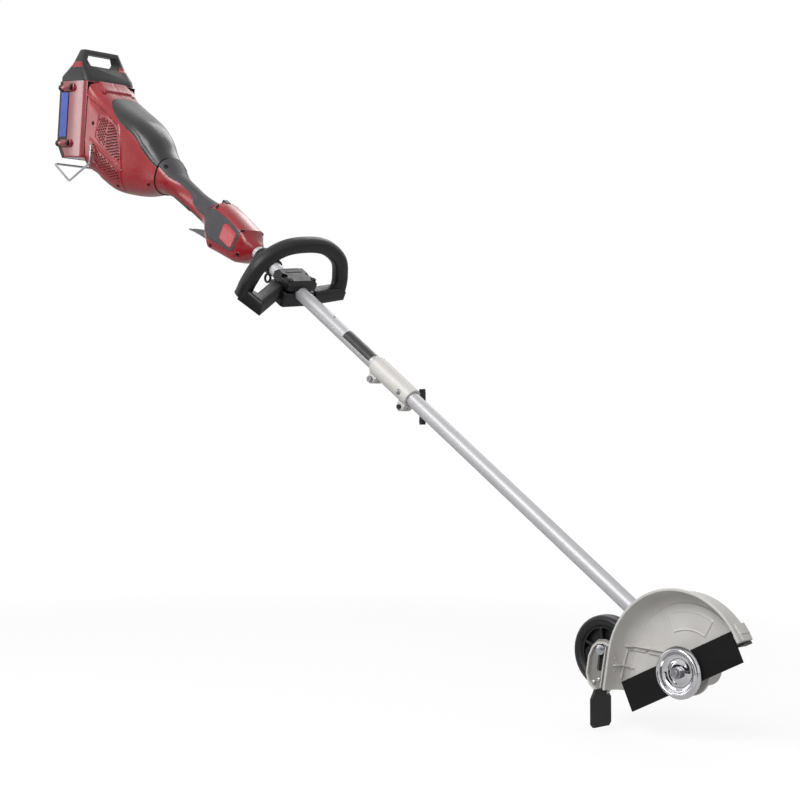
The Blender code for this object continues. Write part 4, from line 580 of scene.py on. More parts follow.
@dataclass(frozen=True)
class Loft:
    """Moulded body through sections, each (bottom x, z, top x, z, half width, squareness) in mm.

    A section is the curve |w|^n + |h|^n = 1 stretched to its half width and half height.
    """

    rows: tuple[tuple[float, ...], ...]
    start: float = NECK
    fine_steps: int = 1200

    def sections(self, places: ndarray, low: ndarray, high: ndarray, count: int) -> ndarray:
        """Points of sections from one angle to another, evenly spaced along each.

        Angle -90 degrees is the bottom, 0 the operator's right and 90 the top, and 180 the left.

        Args:
            places: (n,) real-numbered places along the listed sections.
            low: (n,) first angles in radians.
            high: (n,) last angles.
            count: Points in each section.

        Returns:
            (n, count, 3) array in the tool frame.
        """
        values = curve_at(np.array(self.rows), places)
        foot = values[:, 0:2] * MM + np.array([self.start, 0.0])
        head = values[:, 2:4] * MM + np.array([self.start, 0.0])
        made = []
        for k in range(len(places)):
            turn = np.linspace(low[k], high[k], self.fine_steps)
            power = 2.0 / values[k, 5]
            c, s = np.cos(turn), np.sin(turn)
            wide = -np.sign(c) * np.abs(c) ** power * values[k, 4] * MM
            tall = 0.5 + 0.5 * np.sign(s) * np.abs(s) ** power
            raw = np.stack([foot[k, 0] + (head[k, 0] - foot[k, 0]) * tall, wide,
                            foot[k, 1] + (head[k, 1] - foot[k, 1]) * tall], axis=-1)
            run = np.concatenate([[0.0], np.cumsum(np.linalg.norm(np.diff(raw, axis=0), axis=1))])
            wanted = np.linspace(0.0, run[-1], count)
            made.append(np.stack([np.interp(wanted, run, raw[:, j]) for j in range(3)], axis=-1))
        return np.array(made)

    def warped(self, places: ndarray, low: ndarray, high: ndarray, count: int, first: ndarray,
               last: ndarray, rows: int) -> ndarray:
        """Sections whose columns start and end at places of their own, for slanting or rounded ends.

        Args:
            places: (n,) places between which all columns lie.
            low: (n,) first angles.
            high: (n,) last angles.
            count: Points in each section.
            first: (count,) place at which each column starts.
            last: (count,) place at which it ends.
            rows: Points in each column.

        Returns:
            (rows, count, 3) array in the tool frame.
        """
        base = self.sections(places, low, high, count)
        made = np.empty((rows, count, 3))
        for j in range(count):
            wanted = np.linspace(first[j], last[j], rows)
            for k in range(3):
                made[:, j, k] = np.interp(wanted, places, base[:, j, k])
        return made

    @staticmethod
    def outward(grid: ndarray, ring: bool) -> ndarray:
        """Unit normals of a grid of sections: along crossed with round, turned away from the middle line.

        Args:
            grid: (rows, cols, 3) array.
            ring: Whether the last column joins the first.

        Returns:
            (rows, cols, 3) array.
        """
        padded = np.concatenate([grid[:, -2:-1], grid, grid[:, 1:2]], axis=1) if ring else grid
        along, round_it = np.gradient(padded, axis=0), np.gradient(padded, axis=1)
        normal = np.cross(along, round_it)
        normal = normal[:, 1:-1] if ring else normal
        size = np.linalg.norm(normal, axis=-1, keepdims=True)
        normal = normal / np.where(size > 0, size, 1.0)
        middle = grid.mean(axis=1, keepdims=True)
        flip = np.sign(((grid - middle) * normal).sum(axis=-1, keepdims=True))
        return normal * np.where(flip == 0, 1.0, flip)


# Colours and nodes
def linear(hex_colour: str) -> Colour:
    """Linear RGBA of an sRGB hex colour such as #a03038.

    Args:
        hex_colour: Seven characters, the first a hash.

    Returns:
        Four floats, with alpha 1.
    """
    parts = [int(hex_colour[k:k + 2], 16) / 255.0 for k in (1, 3, 5)]
    lin = [p / 12.92 if p <= 0.04045 else ((p + 0.055) / 1.055) ** 2.4 for p in parts]
    return lin[0], lin[1], lin[2], 1.0


def add_node(tree: NodeTree, kind: str, settings: dict | None = None, inputs: dict | None = None) -> Node:
    """Add a node with its settings, values and links.

    Args:
        tree: Node tree it goes into.
        kind: Blender's node type.
        settings: Attributes to set on the node.
        inputs: Socket name or number to a value or an output socket.

    Returns:
        The node.
    """
    node = tree.nodes.new(kind)
    for key, value in (settings or {}).items():
        setattr(node, key, value)
    for key, value in (inputs or {}).items():
        if isinstance(value, NodeSocket):
            tree.links.new(value, node.inputs[key])
        else:
            node.inputs[key].default_value = value
    return node


def grey(value: float) -> Colour:
    """Opaque grey."""
    return value, value, value, 1.0


def per_mm(size_mm: float) -> float:
    """Texture scale at which a pattern repeats about every size_mm: 1000 over that size."""
    return 1000.0 / size_mm


@dataclass(frozen=True)
class Recipe:
    """A material being made: its node tree, its shader and the object's coordinates in metres."""

    tree: NodeTree
    shader: Node
    place: NodeSocket

    def pattern(self, size_mm: float, detail: float = 2.0, rough: float = 0.5,
                place: NodeSocket | None = None) -> NodeSocket:
        """Cloudy pattern from which colour, roughness or relief are taken.

        Args:
            size_mm: Blob size.
            detail: Octaves.
            rough: Share of the finer octaves.
            place: Coordinates in metres, or None for the object's own.

        Returns:
            The value output.
        """
        made = add_node(self.tree, "ShaderNodeTexNoise", None,
                        {"Vector": self.place if place is None else place, "Scale": per_mm(size_mm),
                         "Detail": detail, "Roughness": rough})
        return made.outputs["Fac"]

    def tone(self, source: NodeSocket, low: tuple[float, str], high: tuple[float, str]) -> None:
        """Base colour that runs from one hex colour to another as the source rises.

        Args:
            source: Value between 0 and 1.
            low: Value at which the first colour stands, and that colour.
            high: The same for the second.
        """
        node = add_node(self.tree, "ShaderNodeValToRGB", None, {"Fac": source})
        for element, (value, colour) in zip(node.color_ramp.elements, (low, high)):
            element.position = value
            element.color = linear(colour)
        self.tree.links.new(node.outputs["Color"], self.shader.inputs["Base Color"])

    def wear(self, source: NodeSocket, low: float, high: float) -> None:
        """Roughness that runs from low to high over the source's usual span of 0.3 to 0.7.

        Args:
            source: Value between 0 and 1.
            low: Roughness at 0.3.
            high: Roughness at 0.7.
        """
        made = add_node(self.tree, "ShaderNodeMapRange", None,
                        {"Value": source, "From Min": 0.3, "From Max": 0.7, "To Min": low, "To Max": high})
        self.tree.links.new(made.outputs["Result"], self.shader.inputs["Roughness"])

    def relief(self, source: NodeSocket, depth_mm: float) -> None:
        """Bump whose full span is depth_mm deep."""
        made = add_node(self.tree, "ShaderNodeBump", None, {"Height": source, "Distance": depth_mm * MM})
        self.tree.links.new(made.outputs["Normal"], self.shader.inputs["Normal"])

    def fix(self, **values: float) -> None:
        """Set the shader's sockets that are the same all over, an underscore standing for a space."""
        for name, value in values.items():
            self.shader.inputs[name.replace("_", " ")].default_value = value


@dataclass(frozen=True)
class Finish:
    """Base of all finishes: a material's name, its record slot and its main colours."""

    name: str
    slot: str
    colour: str
    shade: str

    def material(self) -> Material:
        """Return the material, made the first time it is asked for.

        Returns:
            The material.
        """
        known = bpy.data.materials.get(self.name)
        if known:
            return known
        made = bpy.data.materials.new(self.name)
        made.use_nodes = True
        tree = made.node_tree
        place = add_node(tree, "ShaderNodeTexCoord").outputs["Object"]
        self.paint(Recipe(tree, tree.nodes["Principled BSDF"], place))
        return made

    def paint(self, recipe: Recipe) -> None:
        """Fill the node tree. Each finish has its own."""
        raise NotImplementedError


@dataclass(frozen=True)
class MouldedPlastic(Finish):
    """Injection-moulded ABS or nylon: a flowed skin with the fine grain of a spark-eroded mould."""

    roughness: float = 0.4
    grain_mm: float = 1.6
    grain_depth_mm: float = 0.02
    coat: float = 0.0
    sheen: float = 0.5
    coat_roughness: float = 0.15
    flow_mm: float = 60.0
    dulled_mm: float = 14.0

    def paint(self, recipe: Recipe) -> None:
        """Flow tones over flow_mm, finger-dulled patches over dulled_mm, and the mould's grain as bump.

        Args:
            recipe: Material being made.
        """
        recipe.tone(recipe.pattern(self.flow_mm, 3.0), (0.32, self.shade), (0.68, self.colour))
        recipe.wear(recipe.pattern(self.dulled_mm, 3.0, 0.6), self.roughness - 0.05, self.roughness + 0.07)
        recipe.relief(recipe.pattern(self.grain_mm, 2.0, 0.6), self.grain_depth_mm)
        recipe.fix(Specular_IOR_Level=self.sheen, Coat_Weight=self.coat, Coat_Roughness=self.coat_roughness)


@dataclass(frozen=True)
class SoftRubber(Finish):
    """Moulded rubber or soft overmould: matt, with pebble grain and a dusty bloom."""

    roughness: float = 0.7
    pebble_mm: float = 1.8
    depth_mm: float = 0.05
    bloom_mm: float = 25.0
    sheen: float = 0.35

    def paint(self, recipe: Recipe) -> None:
        """Pebbles from cells of pebble_mm, and a paler, duller bloom in patches of bloom_mm.

        Args:
            recipe: Material being made.
        """
        bloom = recipe.pattern(self.bloom_mm, 3.0)
        cells = add_node(recipe.tree, "ShaderNodeTexVoronoi", {"feature": "SMOOTH_F1"},
                         {"Vector": recipe.place, "Scale": per_mm(self.pebble_mm)})
        recipe.tone(bloom, (0.35, self.shade), (0.7, self.colour))
        recipe.wear(bloom, self.roughness - 0.05, self.roughness + 0.08)
        recipe.relief(cells.outputs["Distance"], self.depth_mm)
        recipe.fix(Specular_IOR_Level=self.sheen)


@dataclass(frozen=True)
class DrawnAluminium(Finish):
    """Drawn and anodised aluminium tube: a satin skin with faint die lines along the shaft."""

    roughness: float = 0.36
    metallic: float = 0.55
    line_mm: float = 0.5
    line_squeeze: float = 0.0033
    cloud_mm: float = 70.0

    def paint(self, recipe: Recipe) -> None:
        """Die lines line_mm apart, drawn out 300 times along the shaft, over a cloud in the anodising.

        Args:
            recipe: Material being made.
        """
        along = add_node(recipe.tree, "ShaderNodeMapping", None,
                         {"Vector": recipe.place, "Rotation": (0.0, -SLOPE, 0.0)}).outputs["Vector"]
        drawn = add_node(recipe.tree, "ShaderNodeMapping", None,
                         {"Vector": along, "Scale": (self.line_squeeze, 1.0, 1.0)}).outputs["Vector"]
        recipe.tone(recipe.pattern(self.cloud_mm, 2.0, place=along), (0.35, self.shade), (0.65, self.colour))
        recipe.wear(recipe.pattern(self.line_mm, 1.0, place=drawn), self.roughness - 0.02,
                    self.roughness + 0.03)
        recipe.fix(Metallic=self.metallic)


@dataclass(frozen=True)
class CastPaint(Finish):
    """Die-cast aluminium under silver-grey powder paint: satin, with a slight orange peel."""

    roughness: float = 0.45
    metallic: float = 0.15
    mottle_mm: float = 35.0
    flake_mm: float = 0.6
    flake_share: float = 0.02
    peel_mm: float = 2.4
    peel_depth_mm: float = 0.006
    sheen: float = 0.4

    def paint(self, recipe: Recipe) -> None:
        """Casting mottle plus a small share of the flakes' cells gives the tone, and peel the relief.

        Args:
            recipe: Material being made.
        """
        mottle = recipe.pattern(self.mottle_mm, 3.0)
        flakes = add_node(recipe.tree, "ShaderNodeTexVoronoi", None,
                          {"Vector": recipe.place, "Scale": per_mm(self.flake_mm)})
        glint = add_node(recipe.tree, "ShaderNodeMath", {"operation": "MULTIPLY_ADD"},
                         {0: flakes.outputs["Distance"], 1: self.flake_share, 2: mottle})
        recipe.tone(glint.outputs["Value"], (0.35, self.shade), (0.72, self.colour))
        recipe.wear(mottle, self.roughness - 0.04, self.roughness + 0.06)
        recipe.relief(recipe.pattern(self.peel_mm, 1.0), self.peel_depth_mm)
        recipe.fix(Metallic=self.metallic, Specular_IOR_Level=self.sheen)


@dataclass(frozen=True)
class PlatedSteel(Finish):
    """Bright chrome or zinc plate over turned or drawn steel: mirror-like, with a few fine scuffs."""

    roughness: float = 0.1
    scuff_mm: float = 3.0
    scuff_depth_mm: float = 0.004
    cloud_mm: float = 18.0

    def paint(self, recipe: Recipe) -> None:
        """Scuffs from rough noise raise roughness and relief, and a soft cloud shifts the plate's tone.

        Args:
            recipe: Material being made.
        """
        scuffs = recipe.pattern(self.scuff_mm, 4.0, 0.7)
        recipe.tone(recipe.pattern(self.cloud_mm, 2.0), (0.3, self.shade), (0.7, self.colour))
        recipe.wear(scuffs, self.roughness * 0.6, self.roughness * 1.8)
        recipe.relief(scuffs, self.scuff_depth_mm)
        recipe.fix(Metallic=1.0)


@dataclass(frozen=True)
class BlackenedSteel(Finish):
    """Blade steel under a baked black coat: low sheen, with fine rolling marks."""

    roughness: float = 0.5
    cloud_mm: float = 22.0
    mark_mm: float = 1.2
    mark_depth_mm: float = 0.01
    sheen: float = 0.15

    def paint(self, recipe: Recipe) -> None:
        """Rolling marks mark_mm apart, ten times as long along the blade, over a cloudy black.

        Args:
            recipe: Material being made.
        """
        cloud = recipe.pattern(self.cloud_mm, 3.0)
        rolled = add_node(recipe.tree, "ShaderNodeMapping", None,
                          {"Vector": recipe.place, "Scale": (0.1, 1.0, 1.0)})
        recipe.tone(cloud, (0.35, self.shade), (0.75, self.colour))
        recipe.wear(cloud, self.roughness - 0.06, self.roughness + 0.08)
        recipe.relief(recipe.pattern(self.mark_mm, 2.0, place=rolled.outputs["Vector"]), self.mark_depth_mm)
        recipe.fix(Specular_IOR_Level=self.sheen)


@dataclass(frozen=True)
class WoundWire(Finish):
    """Enamelled copper winding: glossy, with strands side by side."""

    strand_mm: float = 0.9
    strand_depth_mm: float = 0.2
    roughness: float = 0.3

    def paint(self, recipe: Recipe) -> None:
        """Bands strand_mm apart across the pole faces give the strands.

        Args:
            recipe: Material being made.
        """
        strands = add_node(recipe.tree, "ShaderNodeTexWave", {"wave_type": "BANDS"},
                           {"Vector": recipe.place, "Scale": per_mm(self.strand_mm) / 6.28}).outputs["Fac"]
        recipe.tone(strands, (0.2, self.shade), (0.8, self.colour))
        recipe.relief(strands, self.strand_depth_mm)
        recipe.fix(Metallic=1.0, Roughness=self.roughness)


class Stock(Enum):
    """Finishes of this tool, each named for what it is made of, but for the near-black of holes and gaps and
    the darker grey cast, whose colour is painted shade.

    After name, slot, colour and shade, plastics give roughness, grain size and depth, coat and sheen,
    rubbers give roughness, pebble size and depth, aluminium gives roughness and metallic, and plated steel
    gives roughness and scuff size.
    """

    RED = MouldedPlastic("moulded_red_abs", "red_shell", "#93161f", "#84121b", 0.28, 1.6, 0.001, 0.3, 0.4)
    PACK_RED = MouldedPlastic("moulded_pack_red_abs", "red_shell", "#861420", "#77101b", 0.22, 1.6, 0.001,
                              0.9, 0.5)
    BADGE = MouldedPlastic("moulded_badge_red_abs", "red_shell", "#b02a35", "#a5242f", 0.3, 2.0, 0.006, 0.2,
                           0.4)
    DARK = MouldedPlastic("moulded_charcoal_abs", "dark_shell", "#2a292b", "#242325", 0.38, 1.4, 0.006, 0.0,
                          0.3)
    COVER = MouldedPlastic("moulded_cover_abs", "dark_shell", "#1c1c1d", "#171718", 0.28, 1.4, 0.0, 0.2, 0.4)
    SOFT = SoftRubber("soft_charcoal_overmould", "dark_shell", "#403e41", "#383639", 0.5, 1.8, 0.006)
    BLACK = MouldedPlastic("moulded_black_nylon", "black_plastic", "#161617", "#101011", 0.38, 1.2, 0.006,
                           0.0, 0.3)
    # Near-black for vent holes, slots, screw wells and gaps: painted shade of openings, and the neck
    # isolator's own dark colour
    SHADE_BLACK = MouldedPlastic("black_nylon_and_painted_shade", "black_plastic", "#140a0b", "#0e0707", 0.7, 1.2, 0.02,
                         0.0, 0.1)
    GREY = MouldedPlastic("moulded_grey_abs", "grey_plastic", "#5c5c5f", "#525255", 0.48, 1.4, 0.02, 0.0,
                          0.35)
    BLUE = MouldedPlastic("printed_blue_panel", "blue_panel", "#2f49a6", "#274097", 0.35, 2.0, 0.005, 0.2,
                          0.4)
    LABEL = MouldedPlastic("printed_dark_label", "black_plastic", "#2c2b2d", "#252426", 0.45, 3.0, 0.004, 0.1,
                           0.35)
    FOAM = SoftRubber("foamed_grip_sleeve", "black_plastic", "#171618", "#111012", 0.4, 1.5, 0.006)
    RUBBER = SoftRubber("moulded_black_rubber", "rubber", "#101011", "#0c0c0c", 0.45, 2.2, 0.01)
    TUBE = DrawnAluminium("anodised_drawn_aluminium", "tube_metal", "#b4b3b6", "#afaeb1", 0.42, 0.3)
    CAST = CastPaint("painted_die_cast_aluminium", "cast_metal", "#c9c7c4", "#c0bdb9", 0.42, 0.1)
    # Darker grey cast for the wheel bracket: painted shade of its recessed face, not a bare metal colour
    CAST_SHADED = CastPaint("cast_aluminium_painted_shade", "cast_metal", "#8f8e8b", "#858481", 0.4, 0.3)
    CHROME = PlatedSteel("bright_chrome_plate", "bright_steel", "#c4c4c6", "#b6b6b9", 0.06, 3.0)
    ZINC = PlatedSteel("zinc_plated_steel", "bright_steel", "#b5b6b9", "#a2a3a7", 0.24, 3.0)
    STEEL = PlatedSteel("turned_plain_steel", "steel", "#98989c", "#86868b", 0.3, 2.0)
    SCREW = PlatedSteel("blackened_screw_steel", "steel", "#343436", "#2a2a2c", 0.38, 2.0)
    BLADE = BlackenedSteel("black_coated_blade_steel", "blade_steel", "#0f0f10", "#0b0b0c", 0.5)
    COPPER = WoundWire("enamelled_copper_winding", "copper", "#c87840", "#8c4a20")
    BOARD = MouldedPlastic("glass_epoxy_board", "board_green", "#1d5a34", "#174a2b", 0.4, 1.0, 0.01, 0.3, 0.4)


SLOT_STOCK = {
    "red_shell": Stock.RED, "dark_shell": Stock.DARK, "black_plastic": Stock.BLACK,
    "grey_plastic": Stock.GREY, "blue_panel": Stock.BLUE, "rubber": Stock.RUBBER,
    "tube_metal": Stock.TUBE, "cast_metal": Stock.CAST,
    "bright_steel": Stock.ZINC, "steel": Stock.STEEL, "blade_steel": Stock.BLADE, "copper": Stock.COPPER,
    "board_green": Stock.BOARD,
}


@dataclass
class Carried:
    """CAD nodes whose shape is right: each gets a merged copy with softened edges and its own finish."""

    skip: set[str] = field(default_factory=set)
    stock: dict[str, Stock] = field(default_factory=dict)
    edge_mm: dict[str, float] = field(default_factory=dict)
    crease_deg: float = 32.0

    def build(self) -> None:
        """Copy, soften and dress every node that no other class replaces."""
        slots = {part["node"]: part["material_slot"] for part in frame["record"]["subparts"]}
        bodies = frame["record"]["behaviour"]["bodies"]
        owner = {node: body for body, nodes in bodies.items() for node in nodes}
        for node in sorted(frame["nodes"]):
            if node in self.skip:
                continue
            stock = self.stock.get(node, SLOT_STOCK[slots[node]])
            copy = merged_copy(node, node + "_skin")
            width = self.edge_mm.get(node, 0.0)
            if width:
                soften_edges(copy, width)
            dress(copy, stock, owner[node], self.crease_deg, (node,))


# Sub-assemblies
class Side(Enum):
    """Side of the tool as the operator holds it, with the sign of its y."""

    RIGHT = -1.0
    LEFT = 1.0

    @property
    def mark(self) -> str:
        """Name of the side in the names of pieces."""
        return self.name.lower()

    @property
    def inward(self) -> ndarray:
        """Direction from this side to the tool's middle plane."""
        return np.array([0.0, -self.value, 0.0])


def dense(points_mm: tuple[Triple, ...], fill: int) -> ndarray:
    """Smooth curve in metres through points in millimetres, with fill steps in each span."""
    places = np.linspace(0.0, len(points_mm) - 1, (len(points_mm) - 1) * fill + 1)
    return curve_at(np.array(points_mm, float), places) * MM


def lifted(flat_mm: tuple | ndarray, axis: int, value_mm: float) -> ndarray:
    """Flat points with one value put in as a third coordinate."""
    return np.insert(np.array(flat_mm, float), axis, value_mm, axis=1)


def rounded_ring(low: Pair, high: Pair, radii: tuple[float, ...], steps: int = 8) -> ndarray:
    """Outline of a rectangle in mm with a radius at each corner, each a quarter circle.

    Args:
        low: Least x and y.
        high: Greatest x and y.
        radii: Radii at (high x, high y), (low x, high y), (low x, low y) and (high x, low y).
        steps: Steps in each quarter.

    Returns:
        (4 * (steps + 1), 2) array.
    """
    turn = np.linspace(0.0, 0.5 * np.pi, steps + 1)
    parts = []
    corners = ((high[0], high[1], 0.0), (low[0], high[1], 0.5), (low[0], low[1], 1.0), (high[0], low[1], 1.5))
    for (x, y, quarter), r in zip(corners, radii):
        sx, sy = (1.0 if x == high[0] else -1.0), (1.0 if y == high[1] else -1.0)
        way = turn + quarter * np.pi
        parts.append(np.stack([x - sx * r + r * np.cos(way), y - sy * r + r * np.sin(way)], axis=-1))
    return np.concatenate(parts)


def squarish_ring(half_mm: Pair, squareness: float, count: int) -> ndarray:
    """Closed outline between an ellipse and a rectangle.

    Each point is the circle's cosine and sine to the power of two over the squareness, signs kept, times
    the half widths.

    Args:
        half_mm: Half width and half height.
        squareness: 2 for an ellipse, more for squarer corners.
        count: Number of points.

    Returns:
        (count, 2) array in metres.
    """
    turn = np.linspace(0.0, 2.0 * np.pi, count + 1)[:-1]
    power = 2.0 / squareness
    return np.stack([half * np.sign(wave) * np.abs(wave) ** power
                     for half, wave in zip(half_mm, (np.cos(turn), np.sin(turn)))], axis=-1) * MM


def box_piece(name: str, where: Placement, low_mm: tuple, high_mm: tuple, edge_mm: float) -> Object:
    """Box with a rounded ring, its faces eased over by edge_mm, along the frame's third axis.

    Args:
        name: Piece name.
        where: Frame.
        low_mm: Lowest corner.
        high_mm: Highest corner.
        edge_mm: Radius of its edges.

    Returns:
        The box.
    """
    rows = []
    e = edge_mm
    for inset, height in ((e, low_mm[2]), (e * 0.3, low_mm[2] + e * 0.3), (0.0, low_mm[2] + e),
                          (0.0, high_mm[2] - e), (e * 0.3, high_mm[2] - e * 0.3), (e, high_mm[2])):
        ring = rounded_ring((low_mm[0] + inset, low_mm[1] + inset), (high_mm[0] - inset, high_mm[1] - inset),
                            (e, e, e, e), 3)
        rows.append(lifted(ring, 2, height))
    return surface(name, where.place_mm(rows), ring_cols=True, capped=True)


def from_edges(grid: ndarray) -> ndarray:
    """Straight distance of each point of a grid to the nearer end of its row."""
    return np.minimum(np.linalg.norm(grid - grid[:, :1], axis=-1),
                      np.linalg.norm(grid - grid[:, -1:], axis=-1))


def moulded_skin(name: str, grid: ndarray, normals: ndarray, lift_mm: ndarray, back_mm: float) -> Object:
    """Closed skin: its front is the grid plus its normals times the lift, its back the same with back_mm.

    Args:
        name: Piece name.
        grid: (rows, cols, 3) array in the tool frame.
        normals: Outward normals of the grid.
        lift_mm: (rows, cols) or (rows, 1) lifts of the front.
        back_mm: Lift of the back, negative for inwards.

    Returns:
        The skin.
    """
    front = grid + normals * (lift_mm * MM)[..., None]
    back = (grid + normals * back_mm * MM)[:, ::-1]
    return surface(name, TOOL.place(np.concatenate([front, back], axis=1)), ring_cols=True, capped=True)


def both_sides(spots_mm: tuple[Pair, ...], out_mm: float) -> tuple[ndarray, ndarray]:
    """Places beside the tool from which details drop onto both of its sides.

    Args:
        spots_mm: (x, z) pairs in the tool frame.
        out_mm: Distance of the places from the middle plane.

    Returns:
        (n, 3) places and (n, 3) directions in the row frame, the right side of each pair first.
    """
    pairs = [(x, z, side) for x, z in spots_mm for side in Side]
    return (TOOL.place_mm([(x, side.value * out_mm, z) for x, z, side in pairs]),
            np.array([side.inward for _, _, side in pairs]))


def sunk_screws(name: str, places: ndarray, normals: ndarray, body: str, host: Stock,
                radius_mm: float = 3.4) -> None:
    """Screws down in round bosses: a raised lip, a dark well whose black is painted shade inside the boss,
    and a head with a socket.

    Args:
        name: Start of the pieces' names.
        places: (n, 3) feet on the surface.
        normals: (n, 3) directions out of the surface.
        body: Body they move with.
        host: Finish of the part that they are sunk in.
        radius_mm: Radius of the well.
    """
    r = radius_mm
    raised = [(0.0, -0.6), (r + 1.0, -0.6), (r + 0.9, 0.3), (r + 0.3, 0.6), (r, 0.45), (r, -0.2), (0.0, -0.2)]
    lip = stamp(name + "_screw_lips", raised, places, normals, 24)
    dress(lip, host, body, 50.0)
    # The well is a flat near-black disc: painted shade of the hole round the screw
    well_shade_profile = [(0.0, -0.3), (r, -0.3), (r - 0.05, 0.12), (0.0, 0.12)]
    well = stamp(name + "_screw_wells", well_shade_profile, places, normals, 24)
    dress(well, Stock.SHADE_BLACK, body)
    socket = [(0.0, 0.0), (r * 0.62, 0.0), (r * 0.6, 0.35), (r * 0.5, 0.5), (r * 0.28, 0.5), (r * 0.26, 0.2),
              (0.0, 0.2)]
    head = stamp(name + "_screw_heads", socket, places, normals, 16)
    dress(head, Stock.SCREW, body)


NECK_LOFT = Loft((
    (-8.0, -43.5, -26.6, 19.5, 32.5, 2.3), (2.0, -37.0, 2.0, 10.3, 28.5, 2.2),
    (14.0, -36.0, 14.0, 8.0, 25.0, 2.2), (30.0, -32.0, 30.0, 8.0, 19.0, 2.2),
    (52.0, -31.5, 52.0, 8.0, 16.5, 2.3), (88.0, -30.5, 88.0, 8.5, 16.0, 2.3),
    (122.0, -30.0, 122.0, 12.5, 17.0, 2.4), (138.0, -31.0, 138.0, 18.0, 21.0, 2.8),
    (154.0, -44.0, 154.0, 31.0, 27.0, 3.2), (172.0, -54.0, 172.0, 31.5, 28.5, 3.6)))


